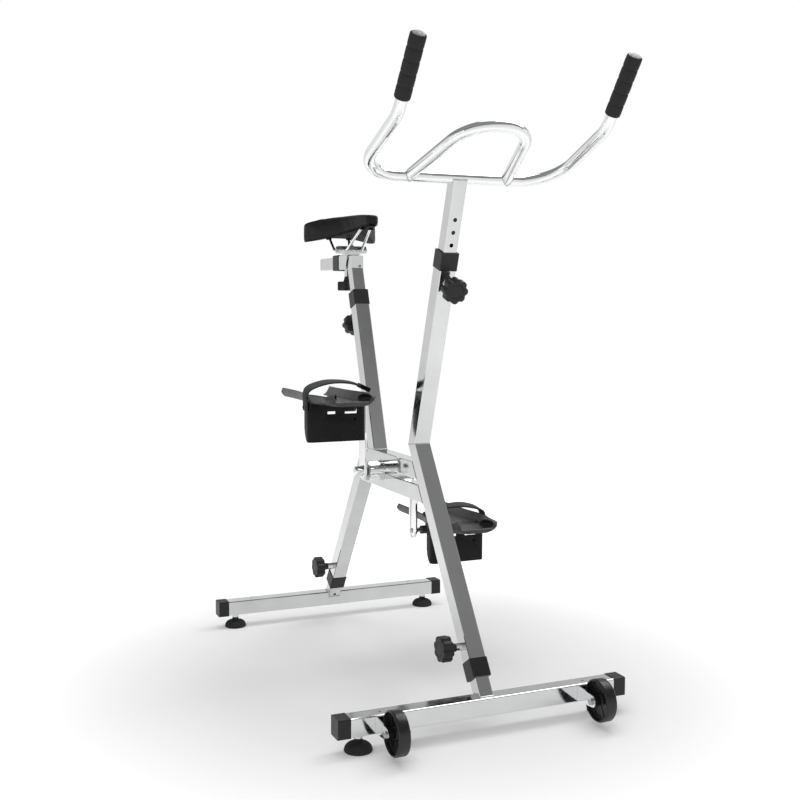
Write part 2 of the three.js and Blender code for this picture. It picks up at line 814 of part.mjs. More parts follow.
// Seat post: the inner tube turns into a level arm
const armHeight = kinkHeight + armRise;
const seatCollarTop = seatCollarPlace + collarLength;
const postAtArm = (armHeight - innerSide / 2 - kinkHeight) / Math.cos(upperLean);
const armFront = kinkReach + postAtArm * Math.sin(upperLean) - innerSide / 2 / Math.cos(upperLean);
const rawPost = squareTube(
  innerSide,
  tubeCorner,
  innerSide - 2 * innerWall,
  seatCollarTop - postInside,
  postAtArm + tubeSide,
);
const aboveArm = block(-reach, reach, -reach, reach, armHeight - innerSide / 2 + innerWall / 2, 2 * reach);
const seatHoles = Array.from({ length: holeCount }, (_, i) => {
  const along = seatBoss + (i - 1) * stemHolePitch;
  return rod(stemHoleDiameter, 0, reach, holeSteps).rotateX(-Math.PI / 2).translate(0, 0, along);
});
const trimmedPost = cut(rawPost, carried(aboveArm, bike, seatTube), ...seatHoles);
const armTube = squareTube(innerSide, tubeCorner, innerSide - 2 * innerWall, armPlate / 2, armLength);
const armEnd = prism(squareOutline(innerSide, tubeCorner), 0, armPlate);
const endHole = rod(armHole, -overrun, overrun).translate(-armHoleDrop, armHoleSide, 0);
const arm = cut(join(armTube, armEnd), endHole).applyMatrix4(alongY).translate(0, armFront, armHeight);
part(seatTube, "seat_post", "steel", join(trimmedPost, carried(arm, bike, seatTube)));

// Slider: a sleeve on the arm with a plate for the saddle clamp, a boss and a collar
const sliderHome = groupAt(bike, 0, armFront + sliderGap, armHeight);
const slantAt = (z) => (sliderSlant * (tubeHalf - z)) / tubeSide;
const sliderFront = new THREE.Shape();
sliderFront.moveTo(-tubeSide, tubeSide);
sliderFront.lineTo(-tubeSide, -tubeSide);
sliderFront.lineTo(slantAt(-tubeSide), -tubeSide);
sliderFront.lineTo(slantAt(tubeSide), tubeSide);
const sliderTube = squareTube(tubeSide, tubeCorner, tubeBore, 0, sliderLength - collarLip - seat);
const levelSlider = sliderTube.applyMatrix4(alongY);
const bossTurn = rod(bossDiameter, -tubeHalf - bossLength, -tubeHalf + tubeWall / 2);
const sliderBoss = bossTurn.translate(0, sliderBossPlace - sliderGap, 0);
const sliderBore = rod(bossBore, -tubeHalf - bossLength - overrun, 0);
const plateFrom = sliderPlatePlace - sliderGap;
const sliderPlate = block(
  -sliderPlateWidth / 2,
  sliderPlateWidth / 2,
  plateFrom,
  plateFrom + sliderPlateLength,
  tubeHalf - tubeWall / 2,
  tubeHalf + sliderPlateThick,
);
part(
  sliderHome,
  "saddle_slider",
  "steel",
  cut(
    join(levelSlider, sliderBoss, sliderPlate),
    sliderBore.translate(0, sliderBossPlace - sliderGap, 0),
    sideProfile(sliderFront, -tubeSide, tubeSide),
  ),
);
const sliderCollar = part(sliderHome, "saddle_slider_collar", "black", collar().applyMatrix4(alongY));
sliderCollar.position.y = sliderLength - collarLength;
const sliderKnob = part(sliderHome, "saddle_slider_knob", "black", knob());
sliderKnob.position.y = sliderBossPlace - sliderGap;
sliderKnob.rotation.x = Math.PI;

// Saddle: rails in a clamp, a pan and a padded cushion
const saddleHome = groupAt(bike, 0, armFront, 0);
const saddleTop = armHeight + saddleRise;
const clampBottom = armHeight + tubeHalf + sliderPlateThick + seat;
const clampMiddle = sliderPlatePlace + sliderPlateLength / 2;
const railHeight = clampBottom + clampHeight / 2;

// Places along the saddle as shares of its length: half width, top and underside
const saddleShares = [0, 0.03, 0.12, 0.28, 0.45, 0.6, 0.75, 0.88, 0.97, 1];
const widthShares = [0.1, 0.155, 0.2, 0.24, 0.36, 0.58, 0.84, 1, 0.93, 0.8];
const thickShares = [0.8, 0.98, 1, 1, 1.02, 1.08, 1.35, 1.6, 1.7, 1.55];

// Half a section, from the top round to the underside: shares of the half width and of the depth
const sectionShares = [
  [0, 0],
  [0.5, 0.01],
  [0.82, 0.06],
  [0.97, 0.22],
  [1, 0.5],
  [0.96, 0.85],
  [0.86, 1],
  [0.45, 0.92],
  [0, 0.9],
];

function saddleRing(i, inset, lift, thick) {
  const y = -saddleNose + saddleShares[i] * saddleLength;
  const squeeze = 1 - inset / saddleLength;
  const half = (saddleWidth / 2) * widthShares[i] - inset;
  const top = saddleTop - saddleFall * saddleShares[i] - lift;
  const depth = thick(i);
  const right = sectionShares.map(([across, drop]) => [half * across, top - drop * depth]);
  const left = right.slice(1, -1).map(([x, z]) => [-x, z]).reverse();
  const ring = [...right, ...left];
  const centre = -saddleNose + saddleLength / 2;
  return ring.map(([x, z]) => new THREE.Vector3(x, centre + (y - centre) * squeeze, z));
}

const cushionThick = (i) => saddleNoseThick * thickShares[i];
const cushion = loft(saddleShares.map((_, i) => saddleRing(i, 0, 0, cushionThick)));
part(saddleHome, "saddle_cushion", "saddle", cushion);
const panLift = (i) => cushionThick(i) + seat;
const pan = loft(
  saddleShares.map((_, i) => saddleRing(i, saddlePanInset, panLift(i), () => saddlePan)),
);
part(saddleHome, "saddle_pan", "black", pan);

const clampBlock = block(
  -clampWidth / 2,
  clampWidth / 2,
  clampMiddle - clampLength / 2,
  clampMiddle + clampLength / 2,
  clampBottom,
  clampBottom + clampHeight,
);
const railGroove = railDiameter / 2 + seat;
const grooves = [-1, 1].map((side) =>
  block(
    side * railSpread - railGroove,
    side * railSpread + railGroove,
    clampMiddle - clampLength,
    clampMiddle + clampLength,
    railHeight - railGroove,
    railHeight + railGroove,
  ),
);
const plateGaps = [-1, 1].map((side) => {
  const gap = block(0, clampWidth, clampMiddle - clampLength, clampMiddle + clampLength, 0, clampGap);
  const middle = side < 0 ? -clampWidth - clampCore / 2 : clampCore / 2;
  return gap.translate(middle, 0, railHeight - clampGap / 2);
});
part(saddleHome, "saddle_clamp", "bright", cut(clampBlock, ...grooves, ...plateGaps));

// The height of the rail's centre line where it meets the pan
function underPan(place) {
  const share = (place + saddleNose) / saddleLength;
  const next = saddleShares.findIndex((value) => value > share);
  const between = (share - saddleShares[next - 1]) / (saddleShares[next] - saddleShares[next - 1]);
  const thick = THREE.MathUtils.lerp(cushionThick(next - 1), cushionThick(next), between);
  const end = (railDiameter / 2) * railEndShare;
  return saddleTop - saddleFall * share - thick - saddlePan - 2 * seat - end;
}
const railCorners = [
  new THREE.Vector3(railRearSpread, railRearPlace, underPan(railRearPlace)),
  new THREE.Vector3(railSpread, railRearBend, railHeight),
  new THREE.Vector3(railSpread, railFrontBend, railHeight),
  new THREE.Vector3(railNoseSpread, railNosePlace, underPan(railNosePlace)),
];
const railBends = [railBend, railBend, railBend, railBend, railBend, railBend];
const railPath = new BentPath([...railCorners, ...railCorners.map(mirrored).reverse()], railBends, railSteps / 2);
part(saddleHome, "saddle_rails", "bright", bentBar(railPath, railDiameter, 0, railSteps));

// Bottom bracket: the shell, its cups and the axle
function cup() {
  const outer = shellBore / 2 - seat;
  const bore = axleDiameter / 2 + running;
  const face = shellLength / 2 + seat;
  const inside = face - shellBore / 2;
  return turned([
    [bore, inside],
    [outer, inside],
    [outer, face],
    [shellDiameter / 2, face],
    [shellDiameter / 2, face + cupFlange],
    [bore, face + cupFlange],
    [bore, inside],
  ]).rotateY(Math.PI / 2);
}
const shellRing = circle(shellDiameter);
shellRing.holes.push(circle(shellBore));
part(
  crank,
  "bottom_bracket_shell",
  "bright",
  prism(shellRing, -shellLength / 2, shellLength / 2, roundSteps / 2).rotateY(Math.PI / 2),
);
part(crank, "left_bearing_cup", "bright", cup());
part(crank, "right_bearing_cup", "bright", cup()).rotation.z = Math.PI;
const axleEnd = hubReach - hubWall;
part(crank, "crank_axle", "bright", rod(axleDiameter, -axleEnd, axleEnd, roundSteps).rotateY(Math.PI / 2));

// Crank arms: a flat bar with a domed hub, on the +X side of its own axes
function crankArm() {
  const bar = new THREE.Shape();
  bar.absarc(0, 0, armWidth / 2, Math.PI, 2 * Math.PI);
  bar.absarc(0, crankLength, armWidth / 2, 0, Math.PI);
  const flat = sideProfile(bar, armInnerFace, armInnerFace + armThick, archSteps);
  const radius = hubDiameter / 2;
  const shoulder = hubReach - radius / 2;
  const dome = hubDomeShares.map((share) => [
    radius * Math.sqrt(1 - share * share),
    shoulder + (hubReach - shoulder) * share,
  ]);
  const start = armInnerFace + armThick / 2;
  const hub = turned([[0, start], [radius, start], [radius, shoulder], ...dome, [0, hubReach]]);
  const bore = rod(axleDiameter + 2 * seat, armInnerFace - overrun, axleEnd + seat, roundSteps);
  const eye = rod(spindleDiameter + 2 * seat, armInnerFace - overrun, armInnerFace + armThick + overrun);
  return cut(
    join(flat, hub.rotateY(Math.PI / 2)),
    bore.rotateY(Math.PI / 2),
    eye.rotateY(Math.PI / 2).translate(0, 0, crankLength),
  );
}

function spindle() {
  const radius = spindleDiameter / 2;
  const arm = armInnerFace + armThick + seat;
  const head = armInnerFace - seat;
  const tip = pedalMiddle + trayWidth / 2 - trayWall;
  const collarEnd = arm + spindleCollarLength;
  return turned(
    [
      [0, head - spindleHead],
      [radius, head - spindleHead / 2],
      [radius, arm],
      [spindleCollar / 2, arm],
      [spindleCollar / 2, collarEnd],
      [radius, collarEnd],
      [radius, tip],
      [0, tip],
    ],
    smallSteps,
  ).rotateY(Math.PI / 2);
}

// Pedal tray: an open shell with a toe wall and two tails
const trayShares = [-1, -0.94, -0.8, -0.62, -0.44, -0.24, 0, 0.3, 1];
const trayWidthShares = [0.76, 0.95, 1, 1.06, 1.17, 1.15, 1.06, 1, 1];

function trayRing(i, inset, floor, top) {
  const y = (trayShares[i] * trayLength) / 2;
  const upper = (trayWidth / 2) * trayWidthShares[i] - inset;
  const lower = upper - trayFlare;
  return [
    new THREE.Vector3(upper, y, top),
    new THREE.Vector3(lower, y, floor),
    new THREE.Vector3(-lower, y, floor),
    new THREE.Vector3(-upper, y, top),
  ];
}

function tray() {
  const skin = loft(trayShares.map((_, i) => trayRing(i, 0, trayBottom, trayTop)));
  const floor = trayBottom + trayWall;
  const hollow = trayShares.map((_, i) => trayRing(i, trayWall, floor, trayTop + overrun));
  hollow[0].forEach((point) => point.setY(-trayLength / 2 + trayWall));
  hollow[hollow.length - 1].forEach((point) => point.setY(trayLength / 2 + overrun));
  const heelHalf = trayWidth / 2 - trayFlare - trayWall;
  const heel = new THREE.Shape();
  heel.absarc(0, heelStart + heelHalf, heelHalf, Math.PI, 2 * Math.PI);
  heel.lineTo(heelHalf, trayLength);
  heel.lineTo(-heelHalf, trayLength);
  const heelCut = prism(heel, 0, floor + overrun, archSteps);
  return cut(skin, loft(hollow), heelCut, ...toeCuts());
}

// The toe wall dips in the middle and has a mouth through the lobe on either side
function toeCuts() {
  const dip = new THREE.Shape();
  dip.moveTo(-toeDipHalf + toeDipSlope, trayTop - toeDip);
  dip.lineTo(toeDipHalf - toeDipSlope, trayTop - toeDip);
  dip.lineTo(toeDipHalf + toeDipSlope, trayTop + toeDip);
  dip.lineTo(-toeDipHalf - toeDipSlope, trayTop + toeDip);
  const toe = trayLength / 2;
  const throughToe = (shape) => prism(shape, toe - 2 * trayWall, toe + overrun).rotateX(Math.PI / 2);
  const side = (trayWidth / 2) * trayWidthShares[0] - toeMouth / 2;
  const mouths = [-1, 1].map((hand) => {
    const middle = (trayBottom + trayTop) / 2 + trayWall / 2;
    const mouth = new THREE.Shape().absellipse(0, 0, toeMouth / 2 - trayWall, toeMouthHigh / 2, 0, 2 * Math.PI);
    return throughToe(new THREE.Shape(mouth.getPoints(curveSteps))).translate(hand * side, 0, middle);
  });
  return [throughToe(dip), ...mouths];
}

function pedalBody() {
  const start = housingStart - pedalMiddle;
  const stop = trayWidth / 2 - trayFlare;
  const housing = rod(housingDiameter, start, stop, roundSteps).rotateY(Math.PI / 2);
  const rib = new THREE.Shape();
  rib.moveTo(-housingDiameter / 2, 0);
  rib.lineTo(housingDiameter / 2, 0);
  rib.lineTo(ribSpread, trayBottom + trayWall / 2);
  rib.lineTo(-ribSpread, trayBottom + trayWall / 2);
  const ribs = [-1, 0, 1].map((place) =>
    sideProfile(rib, -ribThick / 2, ribThick / 2).translate(place * (stop - ribThick), 0, 0),
  );
  const bore = rod(spindleDiameter + 2 * running, start - overrun, stop + overrun, roundSteps);
  return cut(join(tray(), housing, ...ribs), bore.rotateY(Math.PI / 2));
}

// Scoop: a wall with two returned sides that pushes water. The rear edge of a side is drawn in
// shares of the scoop's depth and drop, and its slots in shares of its width.
const scoopEdgeShares = [
  [0.25, 1],
  [0.8, 0.98],
  [1, 0.55],
];
const scoopSlotShares = [-0.21, 0.14];
const scoopSlotWidthShare = 0.16;

function scoop() {
  const half = scoopWidth / 2;
  const plan = new THREE.Shape();
  plan.moveTo(half, scoopDepth);
  plan.absarc(half - scoopCorner, scoopCorner, scoopCorner, 0, -Math.PI / 2, true);
  plan.absarc(-half + scoopCorner, scoopCorner, scoopCorner, 1.5 * Math.PI, Math.PI, true);
  plan.lineTo(-half, scoopDepth);
  plan.lineTo(-half + scoopWall, scoopDepth);
  const inner = scoopCorner - scoopWall;
  plan.absarc(-half + scoopCorner, scoopCorner, inner, Math.PI, 1.5 * Math.PI);
  plan.absarc(half - scoopCorner, scoopCorner, inner, -Math.PI / 2, 0);
  plan.lineTo(half - scoopWall, scoopDepth);
  const wall = prism(plan, -scoopDrop, trayBottom - seat, curveSteps).translate(0, -scoopAhead, 0);
  const side = new THREE.Shape();
  const [start, bend, stop] = scoopEdgeShares.map(([back, down]) => [
    -scoopAhead + scoopDepth * back,
    -scoopDrop * down,
  ]);
  side.moveTo(-scoopAhead, -scoopDrop);
  side.lineTo(...start);
  side.quadraticCurveTo(...bend, ...stop);
  side.lineTo(-scoopAhead + scoopDepth, trayBottom);
  side.lineTo(-scoopAhead, trayBottom);
  const shaped = clip(wall, sideProfile(side, -scoopWidth, scoopWidth, curveSteps));
  const slots = scoopSlotShares.map((place) => {
    const width = scoopWidth * scoopSlotWidthShare;
    const slot = block(-width / 2, width / 2, -reach, -scoopAhead + scoopWall + overrun, 0, scoopSlotHeight);
    return slot.translate(place * scoopWidth, 0, -scoopSlotDrop);
  });
  const through = [-reach, -scoopAhead + scoopWall + overrun];
  const notchEnd = scoopWidth * (scoopSlotShares[1] + scoopSlotWidthShare / 2);
  const notchTop = scoopSlotHeight - scoopSlotDrop + scoopNotch;
  const notch = block(notchEnd - scoopNotch, notchEnd, ...through, -scoopSlotDrop, notchTop);
  const hole = rod(scoopHole, 0, reach, holeSteps).rotateX(Math.PI / 2);
  return cut(shaped, ...slots, notch, hole.translate(scoopHoleOut, 0, -scoopHoleDrop));
}

// Strap: a band that stands outside the scoop and arches over the foot. Its line is drawn in
// shares of the way out to the scoop's side, or in to its tip, and of its height.
const strapOuterShares = [
  [1, 0.35],
  [0.97, 0.72],
  [0.52, 0.95],
  [0, 1],
];
const strapTipShares = [
  [0.55, 0.9],
  [1, 0.68],
];

function strap() {
  const out = scoopWidth / 2 + seat + strapThick / 2;
  const tip = strapTip - pedalMiddle;
  const points = [
    new THREE.Vector3(out, 0, strapEnd),
    ...strapOuterShares.map(([across, up]) => new THREE.Vector3(out * across, 0, strapTop * up)),
    ...strapTipShares.map(([across, up]) => new THREE.Vector3(tip * across, 0, strapTop * up)),
  ];
  const line = new THREE.CatmullRomCurve3(points, false, "centripetal");
  const offset = (i, amount) => {
    const at = line.getPoint(i / strapSteps);
    const along = line.getTangent(i / strapSteps);
    return new THREE.Vector2(at.x - along.z * amount, at.z + along.x * amount);
  };
  const near = Array.from({ length: strapSteps + 1 }, (_, i) => offset(i, strapThick / 2));
  const far = Array.from({ length: strapSteps + 1 }, (_, i) => offset(i, -strapThick / 2)).reverse();
  const band = prism(new THREE.Shape([...near, ...far]), -strapWidth / 2, strapWidth / 2);
  return band.rotateX(Math.PI / 2).translate(0, -scoopAhead + strapWidth / 2, 0);
}

for (const side of [-1, 1]) {
  const hand = side < 0 ? "right" : "left";
  const home = groupAt(crank, 0, 0, 0, side < 0 ? 0 : Math.PI);
  home.scale.x = side;
  part(home, `${hand}_crank_arm`, "bright", crankArm());
  const pedal = groupAt(crank, 0, 0, -side * crankLength);
  pedal.scale.x = side;
  part(pedal, `${hand}_pedal_spindle`, "bright", spindle());
  const foot = groupAt(pedal, pedalMiddle, 0, 0);
  part(foot, `${hand}_pedal_tray`, "tray", pedalBody());
  part(foot, `${hand}_pedal_scoop`, "black", scoop());
  part(foot, `${hand}_pedal_strap`, "tray", strap());
}

// The origin goes to the floor under the middle of the bike's box
bike.updateMatrixWorld(true);
const box = new THREE.Box3().setFromObject(bike, true);
bike.position.set(-(box.min.x + box.max.x) / 2, -(box.min.y + box.max.y) / 2, -box.min.z);
bike.updateMatrixWorld(true);

export default bike;
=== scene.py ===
import json
import logging
import math
from dataclasses import dataclass, field
from enum import Enum
from typing import Callable, Sequence

import bmesh
import bpy
from mathutils import Matrix, Vector, noise

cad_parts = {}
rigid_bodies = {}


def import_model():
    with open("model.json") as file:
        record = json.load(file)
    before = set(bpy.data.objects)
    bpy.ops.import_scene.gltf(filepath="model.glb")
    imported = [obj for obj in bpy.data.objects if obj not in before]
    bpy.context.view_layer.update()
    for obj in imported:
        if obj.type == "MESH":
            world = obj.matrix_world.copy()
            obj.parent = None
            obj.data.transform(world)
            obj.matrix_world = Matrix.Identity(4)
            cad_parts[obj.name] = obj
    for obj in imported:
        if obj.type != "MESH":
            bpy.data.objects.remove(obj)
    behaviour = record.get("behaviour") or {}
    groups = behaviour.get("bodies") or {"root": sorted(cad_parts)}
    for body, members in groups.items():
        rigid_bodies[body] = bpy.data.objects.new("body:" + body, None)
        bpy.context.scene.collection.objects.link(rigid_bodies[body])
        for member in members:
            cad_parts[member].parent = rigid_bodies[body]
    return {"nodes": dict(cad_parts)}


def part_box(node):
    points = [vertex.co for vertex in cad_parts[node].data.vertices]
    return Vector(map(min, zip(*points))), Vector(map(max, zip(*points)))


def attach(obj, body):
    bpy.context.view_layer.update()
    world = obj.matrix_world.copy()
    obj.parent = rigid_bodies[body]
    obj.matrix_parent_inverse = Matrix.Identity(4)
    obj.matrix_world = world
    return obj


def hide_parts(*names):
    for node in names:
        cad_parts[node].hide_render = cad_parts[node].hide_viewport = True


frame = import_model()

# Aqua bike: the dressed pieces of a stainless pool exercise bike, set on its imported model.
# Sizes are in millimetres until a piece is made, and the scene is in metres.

LOG = logging.getLogger("aqua_bike")
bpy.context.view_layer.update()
MM = 0.001
TINY = 1e-6
SHARP_ANGLE = math.radians(36)

Pair = tuple[float, float]
Triple = tuple[float, float, float]
Ring = list[Vector]
Socket = bpy.types.NodeSocket

# Takes an outline from the drawing plane to the side view: its x along the bike, its y upwards
SIDE_VIEW = Matrix(((0, 0, 1, 0), (1, 0, 0, 0), (0, 1, 0, 0), (0, 0, 0, 1)))


class Side(Enum):
    """The two sides of the rider."""

    RIGHT = -1
    LEFT = 1

    @property
    def word(self) -> str:
        """The side's name as the model's nodes write it."""
        return self.name.lower()


class End(Enum):
    """The two ends of the bike."""

    FRONT = -1
    REAR = 1

    @property
    def word(self) -> str:
        """The end's name as the model's nodes write it."""
        return self.name.lower()


class Facing(Enum):
    """Which way a turned or pressed piece points, as a turn of its own z axis."""

    DOWN = Matrix.Rotation(math.pi, 4, "X")
    FORWARD = Matrix.Rotation(math.pi / 2, 4, "X")
    REARWARD = Matrix.Rotation(-math.pi / 2, 4, "X")
    RIGHT = Matrix.Rotation(-math.pi / 2, 4, "Y")
    LEFT = Matrix.Rotation(math.pi / 2, 4, "Y")


# Where the sub-assemblies hang


def hung(x: float, y: float, z: float, lean: float = 0.0) -> Matrix:
    """Returns the axes of a sub-assembly that hangs at a point and leans in the side view.

    Args:
        x: Place across the bike.
        y: Place along the bike.
        z: Height above the floor.
        lean: Turn about the x axis in degrees.

    Returns:
        The matrix from the sub-assembly's own axes to the model's.
    """
    return Matrix.Translation((x, y, z)) @ Matrix.Rotation(math.radians(lean), 4, "X")


def middle_of(node: str) -> Vector:
    """Returns the middle of a model node's box in millimetres."""
    low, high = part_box(node)
    return (low + high) / (2 * MM)


def axes(*place: float) -> Matrix:
    """Returns a field that holds the axes that hung gives."""
    return field(default_factory=lambda: hung(*place))


@dataclass(frozen=True)
class Places:
    """The axes that the square tubes run along, as the model has them."""

    leg_lean: float = 34.0
    upper_lean: float = 18.8
    kink_height: float = 585.0
    base_height: float = 56.8
    front_leg: Matrix = axes(0, -422.454, base_height, -leg_lean)  # From its stabiliser up
    rear_leg: Matrix = axes(0, 570.746, base_height, leg_lean)  # From its stabiliser up
    post: Matrix = axes(0, -66.178, kink_height, upper_lean)  # From its kink up
    seat_tube: Matrix = axes(0, 214.470, kink_height, -upper_lean)  # From its kink up
    mitre: Matrix = axes(0, -66.178, kink_height, (upper_lean - leg_lean) / 2)  # Where leg and post meet
    bar: Matrix = axes(0, -274.198, 1196.06)  # From the middle of its level part
    arm: Matrix = axes(0, 345.2, 1037.5)  # From the middle of its front end
    crank: Matrix = axes(*middle_of("crank_axle"))  # In the middle of the axle


PLACES = Places()


# Shapes: points in millimetres and the faces between them


@dataclass
class Shape:
    """A mesh that is being made."""

    points: list[Vector] = field(default_factory=list)  # Its corners, in millimetres
    # Its faces, as places in the list of points
    faces: list[tuple[int, ...]] = field(default_factory=list)

    def moved(self, place: Matrix) -> "Shape":
        """Returns the shape taken to another place."""
        return Shape([place @ point for point in self.points], list(self.faces))

    def shifted(self, x: float, y: float, z: float) -> "Shape":
        """Returns the shape moved along the axes."""
        return self.moved(Matrix.Translation((x, y, z)))

    def mirrored(self, side: Side) -> "Shape":
        """Returns the shape for one side, where it was drawn for the left."""
        return self.moved(Matrix.Diagonal((side.value, 1, 1, 1)))

    def plus(self, *others: "Shape") -> "Shape":
        """Returns the shape together with others, as separate shells of one mesh.

        Args:
            others: The shapes to add.

        Returns:
            One shape that holds them all.
        """
        whole = Shape(list(self.points), list(self.faces))
        for other in others:
            start = len(whole.points)
            whole.points += list(other.points)
            whole.faces += [tuple(start + i for i in face) for face in other.faces]
        return whole

    def other_hand(self) -> "Shape":
        """Returns the shape as a mirror shows it, with its faces still facing the same way."""
        flipped = self.mirrored(Side.RIGHT)
        return Shape(flipped.points, [tuple(reversed(face)) for face in flipped.faces])

    def facing(self, way: Facing) -> "Shape":
        """Returns the shape turned from the z axis to another way."""
        return self.moved(way.value)


def faces_between(rings: Sequence[Sequence[int]], closed: bool = True) -> list[tuple[int, ...]]:
    """Returns the faces that join rings of points, one after another.

    Args:
        rings: Places of the points, ring by ring, each with the same count.
        closed: Whether each ring's last point joins its first.

    Returns:
        Faces of four points, or of three where two of them are the same.
    """
    faces = []
    count = len(rings[0])
    for low, high in zip(rings, rings[1:]):
        for i in range(count if closed else count - 1):
            j = (i + 1) % count
            corners = list(dict.fromkeys((low[i], low[j], high[j], high[i])))
            if len(corners) > 2:
                faces.append(tuple(corners))
    return faces


def lofted(rings: Sequence[Ring], capped: bool = True, loop: bool = False) -> Shape:
    """Returns a skin over closed rings of points.

    Args:
        rings: The rings, each with the same count of points.
        capped: Whether the first and the last ring are filled.
        loop: Whether the last ring joins the first.

    Returns:
        The skin as a shape.
    """
    count = len(rings[0])
    shape = Shape([point.copy() for ring in rings for point in ring])
    rows = [list(range(i * count, (i + 1) * count)) for i in range(len(rings))]
    if loop:
        rows.append(rows[0])
    shape.faces = faces_between(rows)
    if capped and not loop:
        shape.faces += [tuple(reversed(rows[0])), tuple(rows[-1])]
    return shape


def turned(profile: Sequence[Pair], steps: int = 48, loop: bool = False) -> Shape:
    """Returns a piece turned round the z axis.

    Args:
        profile: Radius and height of each corner, one after another.
        steps: How many flats stand for the circle.
        loop: Whether the profile comes back to its start, as a ring's does.

    Returns:
        The turned shape.
    """
    shape = Shape()
    rows = []
    for radius, height in profile:
        start = len(shape.points)
        if radius < TINY:
            shape.points.append(Vector((0, 0, height)))
            rows.append([start] * steps)
            continue
        for i in range(steps):
            angle = 2 * math.pi * i / steps
            shape.points.append(Vector((radius * math.cos(angle), radius * math.sin(angle), height)))
        rows.append(list(range(start, start + steps)))
    if loop:
        rows.append(rows[0])
    shape.faces = faces_between(rows)
    return shape


def bend(corners: Sequence[Vector], radius: float, steps: int) -> list[Vector]:
    """Returns the arc that rounds a corner.

    Args:
        corners: The corner before, the corner itself and the one after.
        radius: The rounding's radius.
        steps: How many straights stand for it.

    Returns:
        The arc's points, from the first straight to the second.
    """
    before, here, after = corners
    back, on = (before - here).normalized(), (after - here).normalized()
    half = back.angle(on) / 2
    reach = radius / math.tan(half)
    centre = here + (back + on).normalized() * (radius / math.sin(half))
    start, stop = here + back * reach - centre, here + on * reach - centre
    axis, turn = start.cross(stop).normalized(), math.pi - 2 * half
    return [centre + Matrix.Rotation(turn * k / steps, 3, axis) @ start for k in range(steps + 1)]


def rounded(corners: Sequence[Pair], radius: float, steps: int = 4) -> list[Pair]:
    """Returns a closed outline with its corners rounded.

    Args:
        corners: The outline's corners.
        radius: The rounding's radius.
        steps: How many straights stand for each rounding.

    Returns:
        The outline's points.
    """
    spots = [Vector((x, y, 0)) for x, y in corners]
    spots = [spots[-1], *spots, spots[0]]
    arcs = [bend(spots[i : i + 3], radius, steps) for i in range(len(corners))]
    return [(point.x, point.y) for one in arcs for point in one]


def box_outline(width: float, height: float, radius: float, steps: int = 4) -> list[Pair]:
    """Returns a rounded rectangle round the origin."""
    x, y = width / 2, height / 2
    return rounded([(x, -y), (x, y), (-x, y), (-x, -y)], radius, steps)


def arc(centre: Pair, radii: Pair, start: float, stop: float, steps: int) -> list[Pair]:
    """Returns an arc's points, with both its ends.

    Args:
        centre: Its middle.
        radii: Its reach along the two axes.
        start: Its first angle, in degrees.
        stop: Its last angle.
        steps: How many straights stand for it.

    Returns:
        The points, one after another.
    """
    angles = [math.radians(start + (stop - start) * i / steps) for i in range(steps + 1)]
    (x, y), (wide, high) = centre, radii
    return [(x + wide * math.cos(angle), y + high * math.sin(angle)) for angle in angles]


def circle(radius: float, steps: int = 32) -> list[Pair]:
    """Returns a circle's points round the origin."""
    return arc((0, 0), (radius, radius), 0, 360, steps)[:-1]


def pressed(outline: Sequence[Pair], start: float, stop: float) -> Shape:
    """Returns an outline made solid along the z axis."""
    return lofted([[Vector((x, y, height)) for x, y in outline] for height in (start, stop)])


def side_on(outline: Sequence[Pair], start: float, stop: float) -> Shape:
    """Returns an outline drawn in the side view, made solid across the bike."""
    return pressed(outline, start, stop).moved(SIDE_VIEW)


def block(low: Triple, high: Triple) -> Shape:
    """Returns a block between two corners."""
    outline = [(low[0], low[1]), (high[0], low[1]), (high[0], high[1]), (low[0], high[1])]
    return pressed(outline, low[2], high[2])


def filleted(corners: Sequence[Triple], radii: Sequence[float], steps: int = 12) -> list[Vector]:
    """Returns the line of a bent bar: straights joined by arcs.

    Args:
        corners: The line's ends and the corners between them.
        radii: The bend at each corner between the ends.
        steps: How many points each bend has.

    Returns:
        Points along the line.
    """
    spots = [Vector(corner) for corner in corners]
    line = spots[:1]
    for i, radius in enumerate(radii):
        line += bend(spots[i : i + 3], radius, steps)
    return line + spots[-1:]


def headings(line: Sequence[Vector], loop: bool) -> list[Vector]:
    """Returns a line's direction at each of its points.

    Args:
        line: The points.
        loop: Whether the line's end joins its start.

    Returns:
        The directions, as unit vectors.
    """
    before = [line[-1] if loop else line[0], *line[:-1]]
    after = [*line[1:], line[0] if loop else line[-1]]
    return [(there - here).normalized() for here, there in zip(before, after)]


def swept(
    line: Sequence[Vector],
    section: Sequence[Pair],
    up: Vector,
    loop: bool = False,
    scale: Callable[[float], Pair] | None = None,
) -> Shape:
    """Returns a section carried along a line.

    Args:
        line: Points along the line.
        section: The section's points: across the line, then along up.
        up: A direction that the line never runs along.
        loop: Whether the line's end joins its start.
        scale: The section's size at a share of the line, as two factors.

    Returns:
        The swept shape, with filled ends unless it is a loop.
    """
    rings = []
    for i, (point, along) in enumerate(zip(line, headings(line, loop))):
        across = along.cross(up).normalized()
        over = across.cross(along)
        wide, high = scale(i / (len(line) - 1)) if scale else (1, 1)
        rings.append([point + across * (x * wide) + over * (y * high) for x, y in section])
    return lofted(rings, loop=loop)


def threaded(radius: float, start: float, stop: float, pitch: float = 1.5) -> Shape:
    """Returns a threaded stud on the z axis, its turns drawn as rings.

    Args:
        radius: Radius over the thread.
        start: Its lower end.
        stop: Its upper end.
        pitch: The thread's pitch.

    Returns:
        The stud as a shape.
    """
    root = radius - pitch * 0.5
    profile = [(0, start), (root, start)]
    turns = int((stop - start - pitch) / pitch)
    for i in range(turns):
        height = start + pitch * (i + 0.5)
        profile += [(root, height), (radius, height + pitch * 0.4), (radius, height + pitch * 0.6)]
    profile += [(root, stop - pitch * 0.3), (root - pitch * 0.5, stop), (0, stop)]
    return turned(profile, 24)


